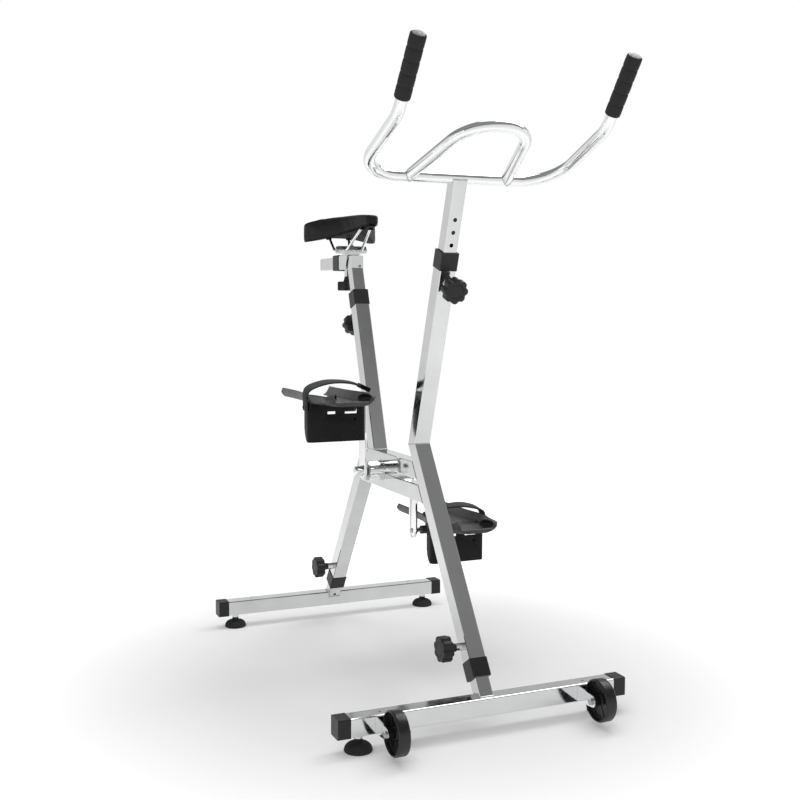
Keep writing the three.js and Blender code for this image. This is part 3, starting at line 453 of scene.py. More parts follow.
def hexagon(across_flats: float, start: float, stop: float) -> Shape:
    """Returns a nut or a bolt head on the z axis, its corners turned off at both faces.

    Args:
        across_flats: Its size over two flats.
        start: Its lower face.
        stop: Its upper face.

    Returns:
        The nut as a shape.
    """
    corner = across_flats / math.sqrt(3)
    rings = []
    bite = (stop - start) * 0.18
    for height, inset in ((start, 0.94), (start + bite, 1), (stop - bite, 1), (stop, 0.9)):
        ring = []
        for i in range(6):
            for share in (0, 0.5):
                angle = math.radians(60 * (i + share))
                reach = corner * (1 if share == 0 else math.sqrt(3) / 2)
                reach = min(reach, corner * inset)
                ring.append(Vector((reach * math.cos(angle), reach * math.sin(angle), height)))
        rings.append(ring)
    return lofted(rings)


def eased(value: float, low: float, high: float) -> float:
    """Returns a smooth step from 0 at low to 1 at high."""
    share = min(max((value - low) / (high - low), 0), 1)
    return share * share * (3 - 2 * share)


def along_table(value: float, places: Sequence[float], sizes: Sequence[float]) -> float:
    """Returns a size between those of a table, on a smooth curve through them.

    Args:
        value: Where the size is wanted.
        places: The table's places, in rising order.
        sizes: The size at each place.

    Returns:
        The size there.
    """
    last = len(places) - 1
    i = max(min(sum(place <= value for place in places) - 1, last - 1), 0)
    span = places[i + 1] - places[i]
    share = (value - places[i]) / span

    def slope(k: int) -> float:
        """The curve's slope at a place of the table."""
        low, high = max(k - 1, 0), min(k + 1, last)
        return (sizes[high] - sizes[low]) / (places[high] - places[low])

    first, second = slope(i) * span, slope(i + 1) * span
    square, cube = share * share, share * share * share
    return (
        (2 * cube - 3 * square + 1) * sizes[i]
        + (cube - 2 * square + share) * first
        + (3 * square - 2 * cube) * sizes[i + 1]
        + (cube - square) * second
    )


# Finishes: procedural materials


class Board:
    """Adds and links the nodes of one tree."""

    def __init__(self, owner: bpy.types.ID) -> None:
        """Starts with an empty tree.

        Args:
            owner: The material or the world that has the tree.
        """
        owner.use_nodes = True
        self.tree = owner.node_tree
        self.tree.nodes.clear()

    def add(self, kind: str, *inputs: object, **settings: object) -> bpy.types.Node:
        """Adds a node.

        Args:
            kind: Blender's name for the node's type.
            inputs: What its first inputs get: an output to link, or else a value.
            settings: Settings of the node by name.

        Returns:
            The new node.
        """
        node = self.tree.nodes.new(kind)
        for name, value in settings.items():
            setattr(node, name, value)
        for target, source in zip(node.inputs, inputs):
            if isinstance(source, Socket):
                self.link(source, target)
            else:
                target.default_value = source
        return node

    def link(self, source: Socket, target: Socket) -> None:
        """Links an output to an input."""
        self.tree.links.new(source, target)

    def math(self, operation: str, *inputs: object) -> Socket:
        """Adds a calculation and returns its result."""
        return self.add("ShaderNodeMath", *inputs, operation=operation).outputs[0]

    def in_reflections(self, path: bpy.types.Node) -> Socket:
        """Returns 1 for the rays that gloss or glass sends, and 0 for others."""
        return self.math("MAXIMUM", path.outputs["Is Glossy Ray"], path.outputs["Is Transmission Ray"])


class Bench(Board):
    """The board of one material, with its shader."""

    def __init__(self, name: str) -> None:
        """Starts a material with its shader.

        Args:
            name: The material's name.
        """
        self.material = bpy.data.materials.new(name)
        super().__init__(self.material)
        self.shader = self.add("ShaderNodeBsdfPrincipled")
        self.add("ShaderNodeOutputMaterial", self.shader.outputs[0])
        self.place = self.add("ShaderNodeTexCoord").outputs["Object"]

    def set(self, **values: object) -> None:
        """Sets the shader's own sockets, whose names are written with underscores."""
        for name, value in values.items():
            self.shader.inputs[name.replace("_", " ")].default_value = value

    def grain(self, scale: float, detail: float = 3, stretch: Triple = (1, 1, 1)) -> Socket:
        """Adds a noise over the piece's own axes.

        Args:
            scale: Cells in a metre.
            detail: How many finer layers it has.
            stretch: Factors along the axes.

        Returns:
            The noise's value.
        """
        mapping = self.add("ShaderNodeMapping", self.place)
        mapping.inputs["Scale"].default_value = stretch
        texture = self.add("ShaderNodeTexNoise", mapping.outputs[0])
        texture.inputs["Scale"].default_value = scale
        texture.inputs["Detail"].default_value = detail
        return texture.outputs["Fac"]

    def pebbles(self, scale: float) -> Socket:
        """Adds rounded cells, as pressed leather or spark-worn plastic has.

        Args:
            scale: Cells in a metre.

        Returns:
            The distance from each cell's middle.
        """
        texture = self.add("ShaderNodeTexVoronoi", self.place, feature="SMOOTH_F1")
        texture.inputs["Scale"].default_value = scale
        return texture.outputs["Distance"]

    def roughen(self, value: Socket, low: float, high: float) -> None:
        """Makes the shader's roughness uneven.

        Args:
            value: A noise, of which the values from 0.3 to 0.7 count.
            low: The roughness where it is low.
            high: The roughness where it is high.
        """
        node = self.add("ShaderNodeMapRange", value, 0.3, 0.7, low, high)
        self.link(node.outputs["Result"], self.shader.inputs["Roughness"])

    def tint(self, value: Socket, first: Triple, second: Triple) -> None:
        """Colours the shader between two colours, by a noise.

        Args:
            value: The noise.
            first: The colour where it is low.
            second: The colour where it is high.
        """
        ramp = self.add("ShaderNodeValToRGB", value)
        for stop, place, colour in zip(ramp.color_ramp.elements, (0.3, 0.7), (first, second)):
            stop.position, stop.color = place, (*colour, 1)
        self.link(ramp.outputs["Color"], self.shader.inputs["Base Color"])

    def bump(self, height: Socket, depth: float) -> None:
        """Adds relief over what the shader has.

        Args:
            height: The relief's height from 0 to 1.
            depth: The height of 1, in millimetres.
        """
        node = self.add("ShaderNodeBump")
        node.inputs["Distance"].default_value = depth * MM
        node.inputs["Strength"].default_value = 1
        self.link(height, node.inputs["Height"])
        normal = self.shader.inputs["Normal"]
        if normal.is_linked:
            self.link(normal.links[0].from_socket, node.inputs["Normal"])
        self.link(node.outputs["Normal"], normal)


def shade(level: float, cool: float = 0.0) -> Triple:
    """Returns a grey of a display level from 0 to 255 as linear light, a little cool if asked.

    Args:
        level: The grey as a display shows it.
        cool: How much more blue than red it has, as a share.

    Returns:
        The colour's three parts.
    """
    share = level / 255
    light = share / 12.92 if share <= 0.04045 else ((share + 0.055) / 1.055) ** 2.4
    return (light * (1 - cool), light, light * (1 + cool))


@dataclass(frozen=True)
class Finish:
    """What every finish has: a name and one material, made when it is first used."""

    name: str
    slot: str  # The record's slot for it

    def material(self) -> bpy.types.Material:
        """Returns the finish's material.

        Returns:
            The material, with its nodes.
        """
        if self.name not in bpy.data.materials:
            self.dress(Bench(self.name))
        return bpy.data.materials[self.name]

    def dress(self, bench: Bench) -> None:
        """Sets up the material's nodes."""
        raise NotImplementedError


@dataclass(frozen=True)
class Stainless(Finish):
    """Polished stainless steel, with the faint clouds and lines that the wheel leaves."""

    level: float = 226
    roughness: float = 0.12
    cloud: float = 0.05
    wave: float = 0.02
    lines: float = 0.0012

    def dress(self, bench: Bench) -> None:
        """Sets the steel's colour, gloss and polishing marks.

        Args:
            bench: The material's bench.
        """
        bench.tint(bench.grain(14, 4), shade(self.level - 5, 0.004), shade(self.level + 3, 0.008))
        bench.set(Metallic=1.0)
        bench.roughen(bench.grain(45, 5), self.roughness, self.roughness + self.cloud)
        bench.bump(bench.grain(9, 1), self.wave)
        bench.bump(bench.grain(700, 2, (6, 0.4, 0.4)), self.lines)


@dataclass(frozen=True)
class Moulded(Finish):
    """Moulded plastic, with a spark-worn grain and slightly uneven gloss."""

    level: float = 34
    roughness: float = 0.42
    grain: float = 1500
    depth: float = 0.012
    cloud: float = 4
    gloss: float = 0.4

    def dress(self, bench: Bench) -> None:
        """Sets the plastic's colour, gloss and grain.

        Args:
            bench: The material's bench.
        """
        bench.tint(bench.grain(60, 5), shade(self.level - self.cloud), shade(self.level + self.cloud))
        bench.roughen(bench.grain(180, 4), self.roughness - 0.05, self.roughness + 0.08)
        bench.set(Specular_IOR_Level=self.gloss)
        bench.bump(bench.pebbles(self.grain), self.depth)


@dataclass(frozen=True)
class Rubber(Finish):
    """Solid rubber, dull, with a bloom of dust and fine pores."""

    level: float = 30
    roughness: float = 0.62
    bloom: float = 14

    def dress(self, bench: Bench) -> None:
        """Sets the rubber's colour, dullness and pores.

        Args:
            bench: The material's bench.
        """
        bench.tint(bench.grain(38, 6), shade(self.level), shade(self.level + self.bloom))
        bench.roughen(bench.grain(90, 4), self.roughness - 0.06, self.roughness + 0.12)
        bench.bump(bench.grain(2200, 3), 0.02)


@dataclass(frozen=True)
class Foam(Finish):
    """Closed-cell grip foam, with open pores on its skin."""

    level: float = 36
    roughness: float = 0.78

    def dress(self, bench: Bench) -> None:
        """Sets the foam's colour and pores.

        Args:
            bench: The material's bench.
        """
        bench.tint(bench.grain(260, 5), shade(self.level - 6), shade(self.level + 8))
        bench.set(Roughness=self.roughness)
        bench.bump(bench.pebbles(1400), 0.08)
        bench.bump(bench.grain(3200, 2), 0.03)


@dataclass(frozen=True)
class Vinyl(Finish):
    """The saddle's cover: grained vinyl over foam."""

    level: float = 40
    roughness: float = 0.5
    gloss: float = 0.3

    def dress(self, bench: Bench) -> None:
        """Sets the cover's colour, sheen and leather grain.

        Args:
            bench: The material's bench.
        """
        bench.tint(bench.grain(24, 5), shade(self.level - 4), shade(self.level + 5))
        bench.roughen(bench.grain(120, 4), self.roughness - 0.05, self.roughness + 0.1)
        bench.set(Specular_IOR_Level=self.gloss)
        bench.bump(bench.pebbles(520), 0.07)
        bench.bump(bench.grain(1800, 3), 0.02)


@dataclass(frozen=True)
class Zinc(Finish):
    """Zinc-plated fasteners, greyer and duller than the tubes."""

    level: float = 188
    roughness: float = 0.3

    def dress(self, bench: Bench) -> None:
        """Sets the plating's colour and patchy gloss.

        Args:
            bench: The material's bench.
        """
        bench.tint(bench.grain(300, 4), shade(self.level - 14, 0.01), shade(self.level + 12, 0.01))
        bench.set(Metallic=1.0)
        bench.roughen(bench.grain(500, 3), self.roughness - 0.06, self.roughness + 0.1)


@dataclass(frozen=True)
class Finishes:
    """The finishes of the whole bike."""

    tube: Finish = Stainless("polished_tube", "tube_steel", 216, 0.07, cloud=0.05, wave=0.012)
    bar: Finish = Stainless("polished_bar", "polished_steel", 244, 0.05, cloud=0.03, wave=0.006)
    # The clamp's upper plate: duller steel, and coloured dark as painted shade under the saddle.
    plate: Finish = Stainless("dull_plate", "polished_steel", 94, 0.22, cloud=0.1, wave=0.006)
    weld: Finish = Stainless("brushed_weld", "tube_steel", 205, 0.28, cloud=0.12, lines=0.004)
    bolt: Finish = Zinc("zinc_fastener", "polished_steel")
    black: Finish = Moulded("black_nylon", "black_plastic", 14, 0.6, cloud=2, gloss=0.08)
    knob: Finish = Moulded("knob_nylon", "black_plastic", 30, 0.46, grain=1100, depth=0.02, cloud=3)
    cap: Finish = Moulded("collar_nylon", "black_plastic", 28, 0.42, cloud=3)
    tray: Finish = Moulded("pedal_nylon", "pedal_plastic", 66, 0.4, grain=1300, cloud=5)
    scoop: Finish = Moulded("scoop_nylon", "black_plastic", 14, 0.5, cloud=3, gloss=0.22)
    strap: Finish = Rubber("strap_rubber", "strap_rubber", 66, 0.5, bloom=8)
    foot: Finish = Rubber("foot_rubber", "foot_rubber", 20, 0.5, bloom=8)
    tyre: Finish = Rubber("tyre_rubber", "wheel_rubber", 16, 0.34, bloom=7)
    grip: Finish = Foam("grip_foam", "grip_foam", 28)
    # A lighter grey disc over each grip's end: a painted highlight, for the light that the foam's end
    # reflects.
    plug: Finish = Moulded("grip_plug", "grip_foam", 108, 0.45)
    cover: Finish = Vinyl("saddle_vinyl", "saddle_cover", 15)


FINISH = Finishes()


# Pieces: from a shape to an object that rides on a body


@dataclass
class Piece:
    """One object of the scene."""

    name: str  # The object's name
    shape: Shape  # Its mesh, in millimetres in the model's axes
    finish: Finish  # What it is made of
    body: str  # The body that it moves with
    stands_for: tuple[str, ...] = ()  # Model nodes that it replaces
    slot: str = ""  # The record's slot, where it isn't the finish's
    bevel: float = 0  # The rounding of its sharp edges
    wall: float = 0  # The thickness that a sheet is given, to the inside where it is negative
    cuts: tuple[Shape, ...] = ()  # Shapes that are taken out of it

    def build(self) -> None:
        """Makes the object, dresses it and ties it to its body."""
        made = as_object(self.name, self.shape, outward=not self.wall)
        if self.wall:
            solid = made.modifiers.new("wall", "SOLIDIFY")
            solid.thickness = abs(self.wall) * MM
            solid.offset = math.copysign(1, self.wall)
            solid.use_even_offset = True
        tools = [as_object(f"{self.name}_cut_{i}", cut) for i, cut in enumerate(self.cuts)]
        for tool in tools:
            taken = made.modifiers.new("cut", "BOOLEAN")
            taken.operation = "DIFFERENCE"
            taken.solver = "EXACT"
            taken.object = tool
        if self.bevel:
            edge = made.modifiers.new("edge", "BEVEL")
            edge.width = self.bevel * MM
            edge.segments = 2
            edge.limit_method = "ANGLE"
            edge.angle_limit = SHARP_ANGLE
        settle(made)
        for tool in tools:
            bpy.data.objects.remove(tool)
        shade_by_angle(made.data)
        made.data.materials.clear()
        made.data.materials.append(self.finish.material())
        tie(made, self.body, self.stands_for)


def as_object(name: str, shape: Shape, outward: bool = True) -> bpy.types.Object:
    """Makes a shape an object, in metres.

    Args:
        name: The object's name.
        shape: The shape, in millimetres.
        outward: Whether its faces are turned to face out.

    Returns:
        The object, linked into the scene.
    """
    mesh = bpy.data.meshes.new(name)
    mesh.from_pydata([point * MM for point in shape.points], [], shape.faces)
    work = bmesh.new()
    work.from_mesh(mesh)
    if outward:
        bmesh.ops.recalc_face_normals(work, faces=work.faces)
    work.to_mesh(mesh)
    work.free()
    made = bpy.data.objects.new(name, mesh)
    bpy.context.scene.collection.objects.link(made)
    return made


def settle(made: bpy.types.Object) -> None:
    """Gives an object the mesh that its modifiers make, and removes them.

    Args:
        made: The object.
    """
    if not made.modifiers:
        return
    graph = bpy.context.evaluated_depsgraph_get()
    mesh = bpy.data.meshes.new_from_object(made.evaluated_get(graph))
    old = made.data
    made.modifiers.clear()
    made.data = mesh
    bpy.data.meshes.remove(old)
    mesh.name = made.name


def shade_by_angle(mesh: bpy.types.Mesh) -> None:
    """Shades a mesh smooth, apart from its sharp edges.

    Args:
        mesh: The mesh to shade.
    """
    work = bmesh.new()
    work.from_mesh(mesh)
    for face in work.faces:
        face.smooth = True
    for edge in work.edges:
        edge.smooth = len(edge.link_faces) == 2 and edge.calc_face_angle(0) < SHARP_ANGLE
    work.to_mesh(mesh)
    work.free()


def tie(made: bpy.types.Object, body: str, nodes: tuple[str, ...]) -> None:
    """Ties an object to its body and hides the nodes that it stands for.

    Args:
        made: The object.
        body: The body that it moves with.
        nodes: The model nodes that it replaces.
    """
    if nodes:
        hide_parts(*nodes)
    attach(made, body)


def dress_node(node: str, finish: Finish) -> None:
    """Gives a model node that stays in view its finish.

    Args:
        node: The node's name.
        finish: Its finish.
    """
    shown = frame["nodes"][node]
    if not shown.material_slots:
        shown.data.materials.append(None)
    for place in shown.material_slots:
        place.material = finish.material()
    LOG.info("dressed %s", node)


# The frame


def tube_bead(place: Matrix, half_width: float, half_depth: float) -> Shape:
    """Returns the weld bead round a square tube's joint.

    Args:
        place: Axes of the joint's plane, whose z axis stands on it.
        half_width: Half its length along x.
        half_depth: Half its length along y.

    Returns:
        The bead as a rippled ring.
    """
    corner, radius, step = 2.5, 1.0, 0.8
    corners = [Vector((x, y, 0)) for x, y in box_outline(2 * half_width, 2 * half_depth, corner, 3)]
    line = stepped(corners + corners[:1], step)[:-1]
    return rippled(line, radius, loop=True).moved(place)


def stepped(corners: Sequence[Vector], step: float) -> list[Vector]:
    """Returns points at even steps along a line of straights.

    Args:
        corners: The line's corners.
        step: The wanted distance between two points.

    Returns:
        The points, with every corner among them.
    """
    line = [corners[0]]
    for here, there in zip(corners, corners[1:]):
        count = max(1, round((there - here).length / step))
        line += [here.lerp(there, (k + 1) / count) for k in range(count)]
    return line


def rippled(line: Sequence[Vector], radius: float, loop: bool = False) -> Shape:
    """Returns a weld bead along a line, thicker and thinner as the welder's steps leave it.

    Args:
        line: Points along the bead, three to a ripple.
        radius: The bead's radius.
        loop: Whether it comes back to its start.

    Returns:
        The bead as a shape.
    """
    section = circle(1, 8)
    rings = []
    for i, (point, along) in enumerate(zip(line, headings(line, loop))):
        across = along.orthogonal().normalized()
        over = across.cross(along)
        ripple, drift = 0.09 * math.cos(2 * math.pi * i / 3), 0.12 * noise.noise(point * 0.11)
        swell = radius * (1 + ripple + drift)
        rings.append([point + across * (x * swell) + over * (y * swell) for x, y in section])
    # Each ring starts where it lies nearest to the first point of the one before it
    for i in range(1, len(rings)):
        start = min(range(len(section)), key=lambda k: (rings[i][k] - rings[i - 1][0]).length)
        rings[i] = rings[i][start:] + rings[i][:start]
    return lofted(rings, loop=loop)


@dataclass
class MainFrame:
    """The X of square tubes, with its welds and the bottom bracket."""

    half: float = 20  # Half the tube's side
    cross_heights: Pair = (523, 470.3)  # Centre lines of the two cross tubes above the floor
    shell_radius: float = 25  # Radius of the bottom bracket's shell
    shell_bore: float = 18  # Radius of its bore
    shell_half: float = 58  # Half its length
    cup_inside: float = 40.3  # Where a cup's inner end sits
    cup_flange: float = 3  # Thickness of the cup's flange
    axle_radius: float = 8.5  # Radius of the axle
    foot_height: float = 543  # Where the seat tube's foot is, above the floor

    def build(self) -> None:
        """Dresses the tubes and builds the welds and the bottom bracket."""
        tubes = ("front_leg_upper", "rear_leg_upper", "handlebar_post", "seat_tube")
        for node in (*tubes, "upper_cross_tube", "lower_cross_tube"):
            dress_node(node, FINISH.tube)
        self.build_welds()
        self.build_bracket()

    def build_welds(self) -> None:
        """Builds the beads where the tubes meet."""
        half, body = self.half, "main_frame"
        lean, upper = math.radians(PLACES.leg_lean), math.radians(PLACES.upper_lean)
        meet = lean + upper
        foot = hung(0, self.seat_tube_at(self.foot_height), self.foot_height)
        beads = {
            "front_kink": (PLACES.mitre, half / math.cos(meet / 2)),
            "rear_kink": (self.on_seat_tube(meet), half / math.sin(meet)),
            "seat_tube_foot": (foot, half / math.cos(upper)),
        }
        for word, height in zip(("upper", "lower"), self.cross_heights):
            for end, leg in ((End.FRONT, PLACES.front_leg), (End.REAR, PLACES.rear_leg)):
                along = self.along_leg(height, half + 0.3)
                plane = leg @ hung(0, -end.value * (half + 0.3), along, 90)
                beads[f"{word}_cross_{end.word}"] = (plane, half / math.cos(lean))
        for word, (plane, depth) in beads.items():
            Piece(f"weld_{word}", tube_bead(plane, half, depth), FINISH.weld, body).build()
        shape = Shape()
        for side in (-1, 1):
            for height in self.cross_heights:
                shape = shape.plus(self.shell_bead(side, height))
        Piece("weld_bracket", shape, FINISH.weld, body).build()

    def on_seat_tube(self, meet: float) -> Matrix:
        """Returns the plane of the seat tube's rear face where the leg runs into it.

        Args:
            meet: The angle between the leg and the seat tube.

        Returns:
            The plane's axes.
        """
        face = self.half + 0.3
        return PLACES.seat_tube @ hung(0, face, -face / math.tan(meet), 90)

    def seat_tube_at(self, height: float) -> float:
        """Returns where the seat tube's centre line is at a height."""
        start = PLACES.seat_tube.translation
        return start.y + (height - start.z) * math.tan(math.radians(PLACES.upper_lean))

    def along_leg(self, height: float, face: float) -> float:
        """Returns how far along a leg a level line meets its inner face.

        Args:
            height: The line's height above the floor.
            face: The face's distance from the leg's centre line.

        Returns:
            The distance from the leg's start.
        """
        lean = math.radians(PLACES.leg_lean)
        return (height - PLACES.base_height + face * math.sin(lean)) / math.cos(lean)

    def shell_bead(self, side: int, height: float) -> Shape:
        """Returns the bead between the shell and one face of a cross tube.

        Args:
            side: -1 or 1, for the face to the right or the left.
            height: The cross tube's centre line.

        Returns:
            The bead as an arc.
        """
        centre, radius = PLACES.crank.translation, self.shell_radius
        start = math.degrees(math.asin(max(abs(height - centre.z) - self.half, 0) / radius))
        way = 1 if height > centre.z else -1
        line = arc((centre.y, centre.z), (radius, way * radius), start, 180 - start, 60)
        return rippled([Vector((side * self.half, y, z)) for y, z in line], 1.7)

    def build_bracket(self) -> None:
        """Builds the shell and its cups with their seals."""
        bore, outer, end = self.shell_bore, self.shell_radius, self.shell_half
        ring = [(bore, -end), (outer - 1, -end), (outer, 1 - end)]
        ring += [(x, -z) for x, z in reversed(ring)]
        shell = turned(ring, 64, loop=True).facing(Facing.LEFT).moved(PLACES.crank)
        body = "main_frame"
        Piece("bracket_shell", shell, FINISH.bar, body, ("bottom_bracket_shell",)).build()
        face = end + 0.3
        flange = face + self.cup_flange
        inner = self.axle_radius + 0.5
        lip = inner + 5
        cup = [(lip, self.cup_inside), (bore - 0.3, self.cup_inside), (bore - 0.3, face), (outer - 0.8, face)]
        cup += [(outer, face + 0.8), (outer, flange - 0.8), (outer - 0.8, flange), (lip, flange)]
        seal = [(inner, flange - 3), (lip, flange - 3), (lip, flange - 0.6), (inner, flange - 0.9)]
        for side in Side:
            node, word = f"{side.word}_bearing_cup", f"{side.word}_cup"
            made, inset = (
                turned(profile, steps, loop=True).facing(Facing.LEFT).mirrored(side).moved(PLACES.crank)
                for profile, steps in ((cup, 64), (seal, 48))
            )
            Piece(word, made, FINISH.bolt, body, (node,)).build()
            Piece(f"{word}_seal", inset, FINISH.tyre, body, slot="black_plastic").build()


@dataclass
class Collars:
    """The plastic collars over the outer tubes' ends, and the caps of the stabilisers."""

    frame_collars: tuple[str, ...] = (
        "front_leg_collar",
        "rear_leg_collar",
        "handlebar_post_collar",
        "seat_tube_collar",
        "saddle_slider_collar",
    )

    def build(self) -> None:
        """Dresses the collars and the end caps."""
        for node in self.frame_collars:
            dress_node(node, FINISH.cap)
        for end in End:
            for side in Side:
                dress_node(f"{end.word}_{side.word}_end_cap", FINISH.cap)


@dataclass
class Knob:
    """A lobed clamping knob with its threaded pin."""

    node: str  # The model node that it stands for, which also names its body
    place: Matrix  # Axes whose z runs out of the tube, from the tube's centre line
    radius: float = 29.25  # Radius over the lobes
    lobes: int = 8  # How many lobes it has
    notch: float = 4.2  # Depth of the rounded notches between them
    sharpness: float = 1.7  # How narrow the notches are against the lobes
    boss_end: float = 38.3  # Where the hub starts, at the boss's end
    head_start: float = 52.3  # Where the head starts
    head_stop: float = 77.3  # Its flat face
    hub_radius: float = 12.5  # Radius of the hub under the head
    boss_radius: float = 9  # Radius at the boss
    pin_radius: float = 5  # Radius of the pin
    pin_start: float = 17  # Where the pin ends, in the tube

    def reach(self, angle: float) -> float:
        """Returns the head's radius at an angle."""
        dip = (1 - math.cos(self.lobes * angle)) / 2
        return self.radius - self.notch * dip**self.sharpness

    def head(self) -> Shape:
        """Returns the head, with rounded edges and a disc let into its face.

        Returns:
            The head, on the z axis.
        """
        low, high, radius = self.head_start, self.head_stop, self.radius
        edges = ((low, 4.5, 0.3), (low + 0.6, 1.8, 0), (low + 2.2, 0.4, 0), (low + 4, 0, 0))
        edges += ((high - 3.2, 0, 0), (high - 1.6, 0.3, 0), (high - 0.5, 1.2, 0), (high, 2.6, 0.05))
        edges += ((high + 0.05, 6, 0.5),)
        disc = ((high, radius - 17, 1), (high - 0.8, radius - 16.4, 1), (high - 0.8, radius - 15.8, 1))
        disc += ((high - 0.15, radius - 15, 1), (high - 0.1, radius - 1, 1))
        rings = []
        count = self.lobes * 16
        for height, inset, roundness in edges + disc:
            ring = []
            for i in range(count):
                angle = 2 * math.pi * i / count
                lobed, plain = self.reach(angle) - inset, radius - inset
                out = lobed + (plain - lobed) * roundness
                ring.append(Vector((out * math.cos(angle), out * math.sin(angle), height)))
            rings.append(ring)
        return lofted(rings)

    def build(self) -> None:
        """Builds the knob and its pin."""
        low, boss = self.boss_end, self.boss_radius
        hub = [(0, low), (boss - 0.6, low), (boss, low + 0.6), (boss + 0.8, low + 6)]
        hub += [(self.hub_radius, self.head_start + 1.5), (0, self.head_start + 1.5)]
        body = self.head().plus(turned(hub, 40)).moved(self.place)
        word = self.node.replace("knob", "grip_knob")
        Piece(word, body, FINISH.knob, self.node, (self.node,)).build()
        pin = threaded(self.pin_radius, self.pin_start, low + 1).moved(self.place)
        Piece(f"{self.node}_pin", pin, FINISH.bolt, self.node).build()


def clamping_knobs() -> list[Knob]:
    """Returns the five knobs where the inner tubes are clamped.

    Returns:
        The knobs.
    """
    leg = 132.5
    bosses = (
        ("front_leg", PLACES.front_leg, (0, 0, leg), Facing.RIGHT),
        ("rear_leg", PLACES.rear_leg, (0, 0, leg), Facing.RIGHT),
        ("handlebar", PLACES.post, (0, 0, 408.6), Facing.FORWARD),
        ("seat_post", PLACES.seat_tube, (0, 0, 320.0), Facing.REARWARD),
        ("saddle_slider", PLACES.arm, (0, 77.0, 0), Facing.DOWN),
    )
    return [Knob(f"{word}_knob", tube @ hung(*spot) @ way.value) for word, tube, spot, way in bosses]


# The base


@dataclass
class Base:
    """One stabiliser with its inner leg and its levelling feet."""

    end: End  # Which end of the bike it carries
    foot_radius: float = 30  # Radius of a foot's pad
    foot_height: float = 20  # Height of the pad
    foot_rim: float = 5  # Height of the pad's straight edge
    neck_radius: float = 8.5  # Radius of the neck over the pad
    neck_top: float = 28  # Where the neck stops, under the stabiliser's nut
    stud_radius: float = 5  # Radius of the threaded stud
    stud_top: float = 53.8  # Where the stud ends, in the tube
    leg_half: float = 16.7  # Half the inner leg's side
    screw_up: float = 26  # How far up the leg its screw is

    def build(self) -> None:
        """Dresses the steel and builds the feet, the screw and the weld."""
        word = self.end.word
        dress_node(f"{word}_leg_lower", FINISH.tube)
        dress_node(f"{word}_stabiliser", FINISH.tube)
        for side in Side:
            self.build_foot(side)
        self.build_leg_screw()
        self.build_weld()

    def pad(self) -> Shape:
        """Returns a foot's pad, a dome on a rounded rim with grip rings beneath.

        Returns:
            The pad, on the z axis.
        """
        radius, rim, neck = self.foot_radius, self.foot_rim, self.neck_radius
        profile = [(0, 1.2), (8, 1.2), (8.6, 0), (14, 0), (14.6, 1.2), (19, 1.2), (19.6, 0)]
        profile += [(radius - 2.2, 0), (radius - 0.8, 0.7), (radius, 2.2), (radius, rim - 0.8)]
        profile += arc((neck, rim), (radius - 0.7 - neck, self.foot_height - rim), 0, 90, 12)[1:]
        profile += [(neck, self.foot_height + 1), (neck, self.neck_top - 1), (neck - 0.8, self.neck_top)]
        return turned([*profile, (0, self.neck_top)], 56)

    @property
    def body(self) -> str:
        """The body that the steel moves with."""
        return f"{self.end.word}_base"

    @property
    def leg(self) -> Matrix:
        """The leg that it stands under."""
        return PLACES.front_leg if self.end is End.FRONT else PLACES.rear_leg

    def build_foot(self, side: Side) -> None:
        """Builds one levelling foot with its stud.

        Args:
            side: Which side it is on.
        """
        node = f"{self.end.word}_{side.word}_foot"
        middle = middle_of(node)
        place = hung(middle.x, middle.y, 0)
        pad = self.pad().moved(place)
        Piece(f"{node}_pad", pad, FINISH.foot, node, (node,)).build()
        stud = threaded(self.stud_radius, self.neck_top - 2, self.stud_top).moved(place)
        Piece(f"{node}_stud", stud, FINISH.bolt, node).build()

    def build_leg_screw(self) -> None:
        """Builds the small dark screw low in the leg's inner face."""
        head = turned([(0, -1), (3.8, -1), (3.8, 0.5), (2.9, 1.3), (1.6, 1.3), (1.4, 0.5), (0, 0.5)], 20)
        facing = Facing.FORWARD if self.end is End.REAR else Facing.REARWARD
        screw = head.facing(facing).shifted(0, -self.end.value * self.leg_half, self.screw_up)
        name = f"{self.end.word}_leg_screw"
        Piece(name, screw.moved(self.leg), FINISH.foot, self.body, slot="black_plastic").build()

    def build_weld(self) -> None:
        """Builds the bead where the inner leg stands on the stabiliser."""
        half, tube, way = self.leg_half, 20.3, self.end.value
        lean = math.radians(PLACES.leg_lean)
        line = middle_of(f"{self.end.word}_stabiliser").y
        top = PLACES.base_height + tube
        inside = line - way * tube
        centre = self.leg.translation.y - way * tube * math.tan(lean)
        across = half / math.cos(lean)
        outer = centre + way * min(across, abs(line + way * tube - centre))
        low = top - abs(centre - way * across - inside) / math.tan(lean)
        left = [(half, inside, low), (half, inside, top), (half, outer, top)]
        corners = [Vector(corner) for corner in left + [(-x, y, z) for x, y, z in reversed(left)]]
        bead = rippled(stepped(corners + corners[:1], 0.9)[:-1], 1.6, loop=True)
        Piece(f"weld_{self.body}", bead, FINISH.weld, self.body).build()


